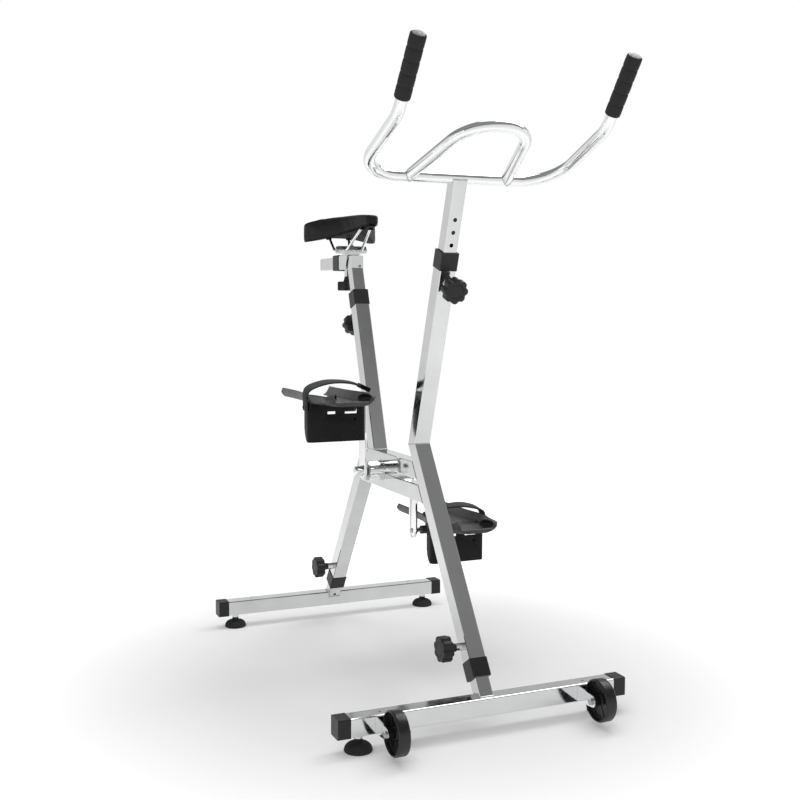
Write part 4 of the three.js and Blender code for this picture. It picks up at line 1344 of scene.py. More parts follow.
@dataclass
class TransportWheel:
    """One transport wheel in its fork, with its bolt."""

    side: Side  # Which side it is on
    radius: float = 47  # Radius over the tread
    half_width: float = 13  # Half the tread's width
    rim_radius: float = 42.2  # Inner radius of the rim
    disc_half: float = 2.4  # Half the thickness of the disc
    hub_radius: float = 10.5  # Radius of the hub
    hub_half: float = 18.5  # Half the hub's length
    bore: float = 4.5  # Radius of the bore
    ribs: int = 6  # How many ribs stiffen the disc
    gap_half: float = 19  # Half the fork's inner width
    plate: float = 3  # Thickness of the fork's cheeks

    def build(self) -> None:
        """Builds the wheel and its bolt, and dresses the fork."""
        place = Matrix.Translation(middle_of(f"{self.side.word}_wheel")) @ Facing.LEFT.value
        body = f"{self.side.word}_wheel"
        wheel = self.tyre().plus(*self.stiffeners()).moved(place)
        Piece(f"{body}_tyre", wheel, FINISH.tyre, body, (body,)).build()
        dress_node(f"{self.side.word}_wheel_fork", FINISH.bar)
        self.build_bolt(place)

    def tyre(self) -> Shape:
        """Returns the wheel, a rounded tread on a rim, a disc and a hub.

        Returns:
            The wheel, on the z axis.
        """
        radius, half, disc = self.radius, self.half_width, self.disc_half
        hub, rim, edge = self.hub_radius, self.rim_radius, 4
        profile = [(self.bore, self.hub_half), (hub - 1, self.hub_half), (hub, self.hub_half - 1)]
        profile += [(hub + 0.6, disc + 2), (hub + 2.4, disc), (rim - 2.5, disc), (rim - 0.5, disc + 1.6)]
        profile += [(rim, half - 1), (rim + 0.8, half)]
        profile += arc((radius - edge, half - edge), (edge, edge), 90, 0, 6)
        return turned(profile + [(out, -height) for out, height in reversed(profile)], 72, loop=True)

    def stiffeners(self) -> list[Shape]:
        """Returns the ribs between the hub and the rim.

        Returns:
            The ribs, round the z axis.
        """
        rib = block((self.hub_radius - 1, -1.1, -3.6), (self.rim_radius + 0.6, 1.1, 3.6))
        turns = (2 * math.pi * (i + 0.5) / self.ribs for i in range(self.ribs))
        return [rib.moved(Matrix.Rotation(turn, 4, "Z")) for turn in turns]

    def build_bolt(self, place: Matrix) -> None:
        """Builds the bolt with its head, nut and washers.

        Args:
            place: The wheel's axes.
        """
        face, thin = self.gap_half + self.plate, 1.3
        head = hexagon(13, -face - 6.8, -face - thin)
        nut = hexagon(13, face + thin, face + 7.8)
        washer = turned([(0, 0), (7.6, 0), (7.6, thin), (0, thin)], 32)
        washers = [washer.shifted(0, 0, start) for start in (-face - thin, face)]
        shank = threaded(4, -face - 1, face + 9.1, 1.25)
        bolt = head.plus(nut, shank, *washers).moved(place)
        name = f"{self.side.word}_wheel_bolt"
        Piece(f"{name}_set", bolt, FINISH.bolt, "front_base", (name,), bevel=0.2).build()


# The handlebar


@dataclass
class Handlebar:
    """The bent bar with its arch, its grips and the stem that carries them."""

    diameter: float = 25  # Of the bar and the arch
    half_width: float = 237.5  # To the centre line of a handle
    forward: float = 220.8  # From the stem to the second bend
    rise: float = 88.8  # Of the second bend over the bar
    handle_forward: float = 96.4  # From the second bend to a handle's end
    handle_rise: float = 127.4  # Of a handle's end over the second bend
    bends: Pair = (93, 78)  # Centre line radii of the two bends of a side
    arch_foot: float = 119.4  # Where an arch's leg meets the bar, from the middle
    arch_shoulder: float = 71.1  # Half the width between the arch's bends
    arch_forward: float = 203.5  # How far the arch reaches
    arch_rise: float = 83  # How high it stands
    arch_bend: float = 83.5  # Its centre line radius
    grip_length: float = 130  # Length of a grip
    grip_diameter: float = 33  # Diameter of a grip
    grip_rings: int = 5  # How many rings it has, with a groove between two
    groove: float = 1.5  # Depth of a groove
    stem_half: float = 16.7  # Half the stem's side

    def build(self) -> None:
        """Builds the bar, the arch, the grips and the welds."""
        dress_node("handlebar_stem", FINISH.tube)
        self.build_bar()
        self.build_arch()
        for side in Side:
            self.build_grip(side)
        self.build_welds()

    def tip(self, side: Side) -> Triple:
        """Returns the end of a handle, from the middle of the bar."""
        return side.value * self.half_width, -self.forward - self.handle_forward, self.rise + self.handle_rise

    def build_bar(self) -> None:
        """Builds the bent bar, from the left handle to the right."""
        half = [self.tip(Side.LEFT), (self.half_width, -self.forward, self.rise), (self.half_width, 0.0, 0.0)]
        first, second = self.bends
        corners = half + [(-x, y, z) for x, y, z in reversed(half)]
        line = filleted(corners, [second, first, first, second], 16)
        bar = swept(line, circle(self.diameter / 2, 36), Vector((0, 0.8, 0.6))).moved(PLACES.bar)
        Piece("bent_handlebar", bar, FINISH.bar, "handlebar", ("handlebar_bar",)).build()

    def build_arch(self) -> None:
        """Builds the arch that stands on the bar."""
        half = [(self.arch_foot, 0.0, 0.0), (self.arch_shoulder, -self.arch_forward, self.arch_rise)]
        corners = half + [(-x, y, z) for x, y, z in reversed(half)]
        line = filleted(corners, [self.arch_bend] * 2, 16)
        inset = self.diameter / 2 - 2
        line[0] = line[0] + (line[1] - line[0]).normalized() * inset
        line[-1] = line[-1] + (line[-2] - line[-1]).normalized() * inset
        arch = swept(line, circle(self.diameter / 2 - 0.05, 36), Vector((0, 0.42, 0.91))).moved(PLACES.bar)
        name = "handlebar_arch"
        Piece(f"{name}_tube", arch, FINISH.bar, "handlebar", (name,)).build()

    def grip(self) -> Shape:
        """Returns a grip with its rings, on the z axis with its closed end up.

        Returns:
            The grip.
        """
        outer, bore = self.grip_diameter / 2, self.diameter / 2 + 0.2
        low, ring = 4 - self.grip_length, self.grip_length / self.grip_rings
        edge, floor = outer - 0.45, outer - self.groove
        profile = [(0, 0.5), (bore, 0.3), (bore, low), (outer - 2.6, low), (outer - 1.2, low + 0.5)]
        for i in range(self.grip_rings):
            start, stop = low + i * ring, low + i * ring + ring
            if i > 0:
                profile += [(floor, start - 0.6), (floor, start + 0.6)]
            profile += [(edge, start + 1.6), (outer, start + 2.8), (outer + 0.15, start + ring / 2)]
            profile += [(outer, stop - 2.8), (edge, stop - 1.6)]
        profile = profile[:-1] + [(outer - 0.7, 3.0), (outer - 2.0, 4.0), (outer - 4, 4.3)]
        profile += [(outer - 5, 3.6), (outer - 5.6, 3.5), (outer - 6.4, 4.1), (4, 4.5), (0, 4.5)]
        return turned(profile, 48)

    def build_grip(self, side: Side) -> None:
        """Builds one grip, with a lighter disc over its end as a painted highlight.

        Args:
            side: Which side it is on.
        """
        slope = math.degrees(math.atan2(self.handle_forward, self.handle_rise))
        place = PLACES.bar @ hung(*self.tip(side), slope)
        node, radius = f"{side.word}_grip", self.grip_diameter / 2 - 3
        # The lighter grey disc over the grip's end is a painted highlight, for the light that the end
        # reflects.
        disc = turned([(0, 4.0), (radius, 4.0), (radius, 4.7), (radius - 0.8, 5.1), (0, 5.3)], 40)
        shape = self.grip().moved(place)
        Piece(f"{node}_foam", shape, FINISH.grip, "handlebar", (node,)).build()
        Piece(f"{node}_plug", disc.moved(place), FINISH.plug, "handlebar").build()

    def build_welds(self) -> None:
        """Builds the beads at the arch's feet and on the stem."""
        radius, half = self.diameter / 2, self.stem_half
        slope = Vector((self.arch_shoulder - self.arch_foot, -self.arch_forward, self.arch_rise)).normalized()
        for side in Side:
            along = Vector((side.value * slope.x, slope.y, slope.z))
            foot = Vector((side.value * self.arch_foot, 0, 0))
            across = (Vector((1, 0, 0)) - along * along.x).normalized()
            over = along.cross(across)
            line = []
            for x, y in circle(radius, 96):
                spoke = across * x + over * y
                line.append(foot + spoke + along * self.to_bar(spoke, along, radius))
            bead = rippled(line, 1.6, loop=True).moved(PLACES.bar)
            Piece(f"weld_arch_{side.word}", bead, FINISH.weld, "handlebar", slot="polished_steel").build()
        corners = []
        for x, y in box_outline(2 * half, 2 * half, 2.5, 3):
            low = -math.sqrt(max((radius + 0.3) ** 2 - min(abs(y), radius) ** 2, 0))
            corners.append(Vector((x, y, low if abs(y) < radius else 0)))
        stem = PLACES.post.to_3x3()
        line = [stem @ point for point in stepped(corners + corners[:1], 1)[:-1]]
        bead = rippled([point for point in line if abs(point.y) < half], 1.5, loop=True)
        Piece("weld_stem", bead.moved(PLACES.bar), FINISH.weld, "handlebar", slot="polished_steel").build()

    @staticmethod
    def to_bar(start: Vector, along: Vector, radius: float) -> float:
        """Returns how far along a direction a point reaches the bar's surface.

        Args:
            start: The point, from a foot on the bar's line.
            along: The direction, as a unit vector.
            radius: The bar's radius.

        Returns:
            The greater of the two distances.
        """
        a = along.y**2 + along.z**2
        b = 2 * (start.y * along.y + start.z * along.z)
        c = start.y**2 + start.z**2 - radius**2
        root = max(b * b - 4 * a * c, 0)
        return (-b + math.sqrt(root)) / (2 * a)


# The crank and its pedals


@dataclass
class Crank:
    """The axle and its two arms."""

    length: float = 165  # Between the axle and a pedal's spindle
    inner_face: float = 66  # Where an arm's inner face is, from the middle
    thick: float = 8  # The arm's thickness
    width: float = 38  # The arm's width
    hub_radius: float = 13  # Radius of the domed hub
    hub_reach: float = 96  # How far it stands out, from the middle
    axle_radius: float = 8.5  # Radius of the axle
    axle_half: float = 90.8  # Half the axle's length

    def build(self) -> None:
        """Builds the axle and the arms."""
        half, radius = self.axle_half, self.axle_radius
        rod = [(0, -half), (radius - 0.8, -half), (radius, 0.8 - half), (radius, half - 0.8)]
        rod += [(radius - 0.8, half), (0, half)]
        axle = turned(rod, 48).facing(Facing.LEFT).moved(PLACES.crank)
        Piece("crank_axle_rod", axle, FINISH.bolt, "crank", ("crank_axle",)).build()
        for side in Side:
            self.build_arm(side)

    def arm(self) -> Shape:
        """Returns the flat arm, drawn upwards on the left.

        Returns:
            The arm, from the axle.
        """
        half, face = (self.width / 2, self.width / 2), self.inner_face
        outline = arc((0, 0), half, 180, 360, 24) + arc((0, self.length), half, 0, 180, 24)
        return side_on(outline, face, face + self.thick)

    def hub(self) -> Shape:
        """Returns the domed hub that is welded on the arm.

        Returns:
            The hub, from the axle.
        """
        radius, reach, low = self.hub_radius, self.hub_reach, self.inner_face + self.thick - 1
        shoulder = reach - radius / 2
        dome = arc((0, shoulder), (radius, reach - shoulder), 0, 90, 9)
        return turned([(0, low), (radius, low), *dome], 48).facing(Facing.LEFT)

    def build_arm(self, side: Side) -> None:
        """Builds one arm with its hub and the bead between them.

        Args:
            side: Which side it is on.
        """
        place = PLACES.crank @ hung(0, 0, 0, 0 if side is Side.RIGHT else 180)
        node, hub_name = f"{side.word}_crank_arm", f"{side.word}_crank_hub"
        ring = [Vector((self.inner_face + self.thick, y, z)) for y, z in circle(self.hub_radius, 90)]
        shapes = (self.arm(), self.hub(), rippled(ring, 1.3, loop=True))
        arm, hub, bead = (shape.mirrored(side).moved(place) for shape in shapes)
        Piece(f"{node}_bar", arm, FINISH.bar, "crank", (node,), bevel=0.9).build()
        Piece(hub_name, hub, FINISH.bar, "crank").build()
        Piece(f"weld_{hub_name}", bead, FINISH.weld, "crank", slot="polished_steel").build()


@dataclass
class Pedal:
    """A foot tray on its spindle, with the scoop that pushes water and the strap."""

    side: Side  # Which side it is on
    middle: float = 165  # Where its middle is, from the bike's middle
    length: float = 358  # The tray's length
    half_width: float = 63.5  # Half the tray's width at its heel
    bottom: float = 22  # The floor's underside above the spindle
    top: float = 42.3  # The rim above the spindle
    wall: float = 4  # The moulding's thickness
    flare: float = 8  # How far the rim leans out over the floor
    heel: float = 70  # Where the heel's round opening starts
    heel_radius: float = 51.5  # Its radius
    boss_start: float = 91  # Where the inner boss starts, from the bike's middle
    boss_gap: float = 43  # How far from the pedal's middle it ends
    scoop_width: float = 151  # The scoop's width
    scoop_ahead: float = 73.5  # How far its face is ahead of the spindle
    scoop_depth: float = 32  # The length of its sides
    scoop_drop: float = 77  # How far it hangs below the spindle
    scoop_wall: float = 3  # Its thickness
    scoop_corner: float = 12  # The rounding of its upright corners
    strap_width: float = 30  # The strap's width
    strap_thick: float = 5  # Its thickness
    strap_top: float = 70.5  # Its highest point above the spindle
    strap_tip: float = 78  # Where its free end is, from the bike's middle
    # Where the scoop's two slots start and stop, across the bike
    slots: tuple[Pair, ...] = ((-26, -5.5), (19, 50.5))
    hole: Pair = (45, -23)  # Where its small hole is, across and up
    spindle: Pair = (62.7, 224.4)  # Where the spindle starts and stops, from the bike's middle
    collar: Pair = (74.3, 79.3)  # Where its collar starts and stops
    # Shares of half the length, from the toe to the heel
    places: tuple[float, ...] = (-1, -0.94, -0.8, -0.62, -0.44, -0.24, 0, 0.3, 1)
    # The tray's width at each place, against its width at the heel
    widths: tuple[float, ...] = (0.76, 0.95, 1, 1.06, 1.17, 1.15, 1.06, 1, 1)

    @property
    def place(self) -> Matrix:
        """The pedal's own axes, on its spindle in its middle."""
        axle = PLACES.crank.translation
        return hung(self.side.value * self.middle, axle.y, axle.z - self.side.value * Crank.length)

    @property
    def body(self) -> str:
        """The body that the pedal rides on."""
        return f"{self.side.word}_pedal"

    def placed(self, shape: Shape) -> Shape:
        """Returns a shape drawn for the left, taken to this pedal."""
        return shape.mirrored(self.side).moved(self.place)

    def build(self) -> None:
        """Builds the tray, the scoop, the strap and the spindle."""
        self.build_tray()
        self.build_scoop()
        self.build_strap()
        self.build_spindle()

    def half_at(self, y: float) -> float:
        """Returns half the tray's width over the rim at a place along it."""
        return self.half_width * along_table(2 * y / self.length, self.places, self.widths)

    def floor_end(self, x: float) -> float:
        """Returns where the floor ends at the heel's opening."""
        reach = min(abs(x), self.heel_radius)
        return self.heel + self.heel_radius - math.sqrt(self.heel_radius**2 - reach**2)

    def across(self, y: float) -> list[Pair]:
        """Returns the tray's section at a place along it, from the middle to the rim.

        Args:
            y: The place along the tray.

        Returns:
            Points across and up, of the moulding's outer face.
        """
        rim = self.half_at(y)
        round_toe = 1 - eased(2 * y / self.length, -1, -0.42)
        foot = rim - self.flare - 14 * round_toe
        heel_share = self.heel_radius / (self.half_width - self.flare)
        shares = (0, 0.14, 0.28, 0.42, 0.56, 0.7, 0.82, heel_share)
        floor = [(foot * share, self.bottom) for share in shares]
        height = self.top - self.bottom
        wall = [(foot - 1.5, self.bottom), (foot + 0.8, self.bottom + 0.8), (foot + 2.2, self.bottom + 3)]
        wall += [(foot + 4.6, self.bottom + height * 0.45), (foot + 7, self.bottom + height * 0.8)]
        # Towards the toe the corner between floor and wall turns into a wide round
        for i in range(5):
            angle = math.pi / 2 * (i + 0.15) / 4.15
            bow = (foot + 22 * math.sin(angle), self.bottom + 15 * (1 - math.cos(angle)))
            wall[i] = tuple(a + (b - a) * round_toe for a, b in zip(wall[i], bow))
        return floor + wall + [(rim, self.top - 0.8), (rim + 0.9, self.top)]

    def tray_sheet(self) -> Shape:
        """Returns the tray as one sheet: floor, walls, toe and two tails.

        Returns:
            The sheet, in the pedal's own axes.
        """
        toe = -self.length / 2
        heel_end = self.heel + self.heel_radius
        count = len(self.across(0))
        floor_count = count - 7
        rows = []
        for share in (1.0, 0.66, 0.33, 0.12):
            section = self.across(toe)
            row = []
            for x, z in section:
                edge = self.bottom + 7.5 + 11 * eased(abs(x), 41, 48)
                lean = -1.2 * share if share < 1 else -1.8
                row.append(Vector((x, toe + lean, z + (edge - z) * share)))
            rows.append(row)
        steps = 40
        for j in range(steps + 1):
            share = j / steps
            row = []
            for k in range(count):
                heel_share = self.across(heel_end)[k][0]
                stop = self.floor_end(heel_share) if k < floor_count else heel_end
                y = toe + (stop - toe) * share
                x, z = self.across(y)[k]
                row.append(Vector((x, y, z)))
            rows.append(row)
        width = len(rows[0])
        shape = Shape([point for row in rows for point in row])
        grid = [list(range(r * width, (r + 1) * width)) for r in range(len(rows))]
        tail = [grid[-1][floor_count - 1 :]]
        for j in range(1, 7):
            y = heel_end + (self.length / 2 - heel_end) * j / 6
            first = len(shape.points)
            # The tails' ends are rounded in the side view
            drop = 9 * max(0, j - 5) ** 2 / (self.top - self.bottom)
            for i, (x, z) in enumerate(self.across(y)[floor_count - 1 :]):
                shape.points.append(Vector((x, y, z if i < 4 else z - drop * (z - self.bottom))))
            tail.append(list(range(first, len(shape.points))))
        shape.faces = faces_between(grid, closed=False) + faces_between(tail, closed=False)
        return joined_at_seams(shape.plus(shape.other_hand()))

    def hood(self, hand: int) -> Shape:
        """Returns a toe lobe: half an egg, open towards the middle and the front.

        Args:
            hand: -1 or 1, for its side of the tray.

        Returns:
            The lobe as a sheet.
        """
        mouth = math.radians(27)
        out = Vector((math.cos(mouth), math.sin(mouth), 0))
        along = Vector((-math.sin(mouth), math.cos(mouth), 0))
        centre = Vector((39, -self.length / 2 + 17, self.bottom + 12))
        rings = []
        for i in range(9):
            angle = math.pi / 2 * i / 8
            reach, size = 24 * math.sin(angle), math.cos(angle)
            ring = []
            for k in range(28):
                turn = 2 * math.pi * k / 28
                flat = 26 * math.cos(turn) * size
                rise = (14.5 if math.sin(turn) > 0 else 12) * math.sin(turn) * size
                ring.append(centre + out * (reach - 1) + along * flat + Vector((0, 0, rise)))
            rings.append(ring)
        shape = lofted(rings, capped=False)
        return shape if hand > 0 else shape.other_hand()

    def build_tray(self) -> None:
        """Builds the tray with its lobes, its housing and its ribs."""
        node = f"{self.body}_tray"
        tray = self.placed(self.tray_sheet())
        wall = self.wall if self.side is Side.RIGHT else -self.wall
        Piece(f"{node}_shell", tray, FINISH.tray, self.body, (node,), bevel=0.9, wall=wall).build()
        for hand, word in ((1, "outer"), (-1, "inner")):
            lobe, name = self.placed(self.hood(hand)), f"{node}_{word}_lobe"
            Piece(name, lobe, FINISH.tray, self.body, bevel=0.8, wall=wall * 0.7).build()
        stop = self.half_width - self.flare - 0.5
        housing = Shape()
        for low, high in ((self.boss_start - self.middle, -self.boss_gap), (stop - 1.5, stop + 2.5)):
            rod = [(6.6, low), (10, low), (11, low + 1), (11, high - 1), (10, high), (6.6, high)]
            housing = housing.plus(turned(rod, 40, loop=True).facing(Facing.LEFT))
        under = self.bottom + 1
        rib = side_on([(-11, 2), (-9, -4), (9, -4), (11, 2), (30, under), (-30, under)], -1.5, 1.5)
        ribs = [rib.shifted(place, 0, 0) for place in (4 - stop, -self.boss_gap - 2, stop - 1.5)]
        under_tray = self.placed(housing.plus(*ribs))
        Piece(f"{node}_housing", under_tray, FINISH.tray, self.body, bevel=0.4).build()

    def build_scoop(self) -> None:
        """Builds the scoop, a bent wall with slots, a notch and a small hole."""
        node = f"{self.body}_scoop"
        half, corner, ahead = self.scoop_width / 2, self.scoop_corner, -self.scoop_ahead
        depth, drop = self.scoop_depth, self.scoop_drop
        plan = []
        for radius, way in ((corner, 1), (corner - self.scoop_wall, -1)):
            arcs = [(half - corner + radius, depth)]
            arcs += arc((half - corner, corner), (radius, radius), 0, -90, 8)
            arcs += [(-x, y) for x, y in reversed(arcs)]
            plan += arcs[::way]
        body = pressed(plan, -drop, self.bottom - 0.3).shifted(0, ahead, 0)
        rear = [(0.3 * depth, -drop - 5)]
        for i in range(13):
            share = i / 12
            early, mid, late = (1 - share) ** 2, 2 * share * (1 - share), share**2
            y, z = early * 0.25 + mid * 0.8 + late, early + mid * 0.98 + late * 0.55
            rear.append((depth * y + (0.01 if i == 12 else 0), -drop * z - (0.4 if i == 0 else 0)))
        rear += [(depth + 20, -drop * 0.55), (depth + 20, -drop - 5)]
        shaped = side_on(rear, -2 * half, 2 * half).shifted(0, ahead, 0)
        # The two scoops are the same pressing, so their slots lie the same way round on both
        way = self.side.value
        slots = []
        for low, high in self.slots:
            corners = [(way * x, z) for x, z in ((low, -8.5), (high, -8.5), (high, -2), (low, -2))]
            slots.append(self.through_face(rounded(corners, 1, 2)))
        notch = self.through_face([(way * x, z) for x, z in ((43, -3), (50.5, -3), (50.5, 5), (43, 5))])
        across, up = way * self.hole[0], self.hole[1]
        hole = self.through_face([(across + x, up + z) for x, z in circle(2.6, 20)])
        cuts = tuple(self.placed(tool) for tool in (shaped, *slots, notch, hole))
        socket = turned([(0, -9), (3.6, -9), (3.6, -0.4), (2.5, -0.4), (2.5, -8.4), (0, -8.4)], 24)
        socket = self.placed(socket.facing(Facing.FORWARD).shifted(across, ahead, up))
        Piece(f"{node}_socket", socket, FINISH.black, self.body).build()
        shape = self.placed(body)
        Piece(f"{node}_wall", shape, FINISH.scoop, self.body, (node,), bevel=0.5, cuts=cuts).build()

    def through_face(self, outline: Sequence[Pair]) -> Shape:
        """Returns a tool through the scoop's face, from an outline across and up."""
        return pressed(outline, -6, 6).facing(Facing.FORWARD).shifted(0, -self.scoop_ahead + 1, 0)

    def build_strap(self) -> None:
        """Builds the rubber band over the foot."""
        thick, broad = self.strap_thick, self.strap_width
        out = self.scoop_width / 2 + 0.3 + thick / 2
        tip, top = self.strap_tip - self.middle, self.strap_top
        corners = [(out, 1.5), (out, 0.3 * top), (out, 0.56 * top), (0.88 * out, 0.78 * top)]
        corners += [(0.5 * out, 0.94 * top), (0.05 * out, top), (0.5 * tip, 0.93 * top), (tip, 0.68 * top)]
        line = smooth_line([Vector((x, 0, z)) for x, z in corners], 12)
        up = Vector((0, math.cos(0.12), math.sin(0.12)))

        def sized(share: float) -> Pair:
            """The band is widest over the instep."""
            return 1, 0.86 + 0.56 * eased(share, 0.2, 0.5) - 0.52 * eased(share, 0.6, 0.88)

        band = swept(line, box_outline(thick, broad, 1.6, 3), up, scale=sized)
        buckle = swept(line[-len(line) // 11 :], box_outline(thick * 2.1, broad * 0.94, 1.4, 3), up)
        ahead = self.scoop_ahead - broad / 2
        band, buckle = (self.placed(one.shifted(0, -ahead, 0)) for one in (band, buckle))
        node = f"{self.body}_strap"
        Piece(f"{node}_band", band, FINISH.strap, self.body, (node,)).build()
        Piece(f"{node}_buckle", buckle, FINISH.black, self.body, bevel=0.5).build()
        head = turned([(0, 0), (3.4, 0), (3.4, 0.8), (2.4, 1.8), (0, 2.1)], 20).facing(Facing.LEFT)
        spots = [(out + thick / 2 - 0.1, y - self.scoop_ahead + 15, 9) for y in (-8, 8)]
        rivets = Shape().plus(*(head.shifted(*spot) for spot in spots))
        Piece(f"{node}_rivets", self.placed(rivets), FINISH.tyre, self.body, slot="black_plastic").build()

    def build_spindle(self) -> None:
        """Builds the spindle with its collar, which is screwed into the crank and rides on it."""
        (start, stop), (low, high) = self.spindle, self.collar
        profile = [(0, start), (5.2, start), (6, start + 0.9), (6, low), (8.9, low), (9.5, low + 0.6)]
        profile += [(9.5, high - 0.6), (8.9, high), (6, high), (6, stop - 0.7), (5.2, stop), (0, stop)]
        rod = turned(profile, 32).facing(Facing.LEFT).shifted(-self.middle, 0, 0)
        node = f"{self.body}_spindle"
        Piece(f"{node}_rod", self.placed(rod), FINISH.bolt, "crank", (node,)).build()


def joined_at_seams(shape: Shape) -> Shape:
    """Returns a shape whose points at the same place are made one.

    Args:
        shape: The shape, with doubled points.

    Returns:
        The shape without them.
    """
    index: dict[tuple[int, int, int], int] = {}
    points = []
    moved = []
    for point in shape.points:
        key = (round(point.x * 100), round(point.y * 100), round(point.z * 100))
        if key not in index:
            index[key] = len(points)
            points.append(point)
        moved.append(index[key])
    faces = []
    for face in shape.faces:
        corners = tuple(dict.fromkeys(moved[i] for i in face))
        if len(corners) > 2:
            faces.append(corners)
    return Shape(points, faces)


def smooth_line(corners: Sequence[Vector], steps: int) -> list[Vector]:
    """Returns a smooth line through points.

    Args:
        corners: The points that it passes.
        steps: How many points it has between two of them.

    Returns:
        Points along the line.
    """
    spots = [0.0]
    for here, there in zip(corners, corners[1:]):
        spots.append(spots[-1] + math.sqrt((there - here).length))
    line = []
    for i in range(len(corners) - 1):
        for k in range(steps):
            value = spots[i] + (spots[i + 1] - spots[i]) * k / steps
            line.append(Vector([along_table(value, spots, [c[axis] for c in corners]) for axis in range(3)]))
    line.append(corners[-1].copy())
    return line


# The saddle


@dataclass
class Saddle:
    """The padded saddle on its pan and rails, with the clamp, the slider and the post."""

    length: float = 290  # From nose to rear
    width: float = 214  # Over the wings
    nose: float = 119  # How far the nose is ahead of the arm's front end
    nose_thick: float = 27  # The cushion's thickness at the nose
    top: float = 1154  # Height of the nose above the floor
    edge: float = 6.5  # Rounding of the upper edge
    hem: float = 4.5  # Rounding of the lower edge
    hollow: float = 0.3  # How much thinner the wings' middle is, as a share
    pan: float = 3  # Thickness of the pan
    pan_inset: float = 7  # How far the pan stays inside the cushion
    slack: float = 1.6  # How much smaller the cushion is before it is blown up
    cap: float = 3.5  # How far a point may move as it is blown up
    voxel: float = 4  # The mesh's cell as it is blown up
    rail_diameter: float = 7.5  # Of the rails
    rail_spread: float = 22  # Half the distance between the rails in the clamp
    rail_height: float = 1071.3  # The rails' centre line in the clamp
    clamp_width: float = 80  # Width of the clamp
    clamp_middle: float = 49  # Its middle, from the arm's front end
    clamp_bottom: float = 1061.8  # Its underside above the floor

    # Shares of the length from the nose, for the three tables
    places: tuple[float, ...] = (0, 0.03, 0.12, 0.28, 0.45, 0.6, 0.75, 0.88, 0.97, 1)
    # The cushion's width at each place, against its width over the wings
    widths: tuple[float, ...] = (0.12, 0.17, 0.2, 0.24, 0.36, 0.58, 0.84, 1, 0.94, 0.82)
    # Its thickness at each place, against the nose's
    thicks: tuple[float, ...] = (0.98, 1.05, 1.17, 1.39, 1.73, 2.02, 2.1, 2.02, 1.8, 1.46)
    # How far its top lies below the nose's, in millimetres
    falls: tuple[float, ...] = (-1.2, -2.2, -4, -5.8, -6, -4.4, -0.6, 4, 7.8, 9.4)

    def build(self) -> None:
        """Builds the cushion, the pan, the rails and the clamp, and dresses the steel."""
        dress_node("seat_post", FINISH.tube)
        dress_node("saddle_slider", FINISH.tube)
        self.build_cushion()
        self.build_pan()
        self.build_rails()
        self.build_clamp()

    def half_at(self, share: float) -> float:
        """Returns half the cushion's width at a share of its length."""
        return self.width / 2 * along_table(share, self.places, self.widths)

    def thick_at(self, share: float) -> float:
        """Returns the cushion's thickness at its sides, at a share of its length."""
        return self.nose_thick * along_table(share, self.places, self.thicks)

    def top_at(self, share: float) -> float:
        """Returns the height of the cushion's top at a share of its length."""
        return self.top - along_table(share, self.places, self.falls)

    def under_at(self, share: float, x: float) -> float:
        """Returns the height of the cushion's underside, hollow between the wings.

        Args:
            share: The place, from the nose.
            x: The distance from the middle.

        Returns:
            The height above the floor.
        """
        thick = self.thick_at(share)
        reach = min(abs(x) / max(self.half_at(share) - self.hem, 1), 1)
        hollow = self.hollow * eased(share, 0.2, 0.7) * (1 - reach**2.4)
        return self.top_at(share) - thick * (1 - hollow)

    def along(self, share: float) -> float:
        """Returns a share's place along the bike."""
        return PLACES.arm.translation.y - self.nose + share * self.length

    def ring(self, share: float, inset: float) -> Ring:
        """Returns the cushion's section at a share of its length.

        Args:
            share: The place, from the nose.
            inset: How far the section stays inside the cushion.

        Returns:
            The ring's points, from the top's middle down the left side and round.
        """
        half, top, foot = self.half_at(share) - inset, self.top_at(share) - inset, self.hem
        low = self.top_at(share) - self.thick_at(share) + inset
        edge = min(self.edge, half * 0.7)
        right = [(half * x, top) for x in (0, 0.25, 0.5)] + [((half - edge) * 0.9, top - 0.2)]
        right += arc((half - edge, top - edge), (edge, edge), 90, 0, 4)
        right += [(half, low + foot + (top - edge - low - foot) * part) for part in (0.75, 0.5, 0.25)]
        foot = min(foot, half * 0.5)
        right += arc((half - foot, low + foot), (foot, foot), 0, -90, 3)
        right += [(half * x, self.under_at(share, half * x) + inset) for x in (0.8, 0.62, 0.42, 0.2, 0)]
        ring = right + [(-x, z) for x, z in reversed(right[1:-1])]
        middle = self.along(0.5)
        y = middle + (self.along(share) - middle) * (1 - 2 * inset / self.length)
        return [Vector((x, y, z)) for x, z in ring]

    def shares(self) -> list[float]:
        """Returns the shares of the length at which the saddle has a section.

        Returns:
            The shares, from the nose.
        """
        ends = [0, 0.006, 0.014, 0.03, 0.06]
        middle = [0.1 + 0.84 * i / 26 for i in range(27)]
        return ends + middle + [0.965, 0.982, 0.994, 1]

    def rings(self, inset: float) -> list[Ring]:
        """Returns the cushion's sections from nose to rear, with its two ends drawn in.

        Args:
            inset: How far they stay inside the cushion.

        Returns:
            The sections, in the model's axes.
        """
        rings = []
        for share in self.shares():
            end = min(share, 1 - share) * self.length
            draw = 1 - math.sqrt(max(1 - min(end / 5, 1), 0)) ** 3 * 0.14
            ring = self.ring(share, inset)
            middle = sum(ring, Vector()) / len(ring)
            rings.append([middle + (point - middle) * draw for point in ring])
        return rings

    def build_cushion(self) -> None:
        """Builds the cushion, blown up by a cloth simulation from a slightly smaller form."""
        made = as_object("saddle_pad", lofted(self.rings(self.slack)))
        remesh = made.modifiers.new("cells", "REMESH")
        remesh.mode = "VOXEL"
        remesh.voxel_size = self.voxel * MM
        settle(made)
        self.blow_up(made)
        rounder = made.modifiers.new("round", "SUBSURF")
        rounder.levels = rounder.render_levels = 1
        settle(made)
        for face in made.data.polygons:
            face.use_smooth = True
        made.data.materials.clear()
        made.data.materials.append(FINISH.cover.material())
        tie(made, "saddle", ("saddle_cushion",))
        self.build_seam()

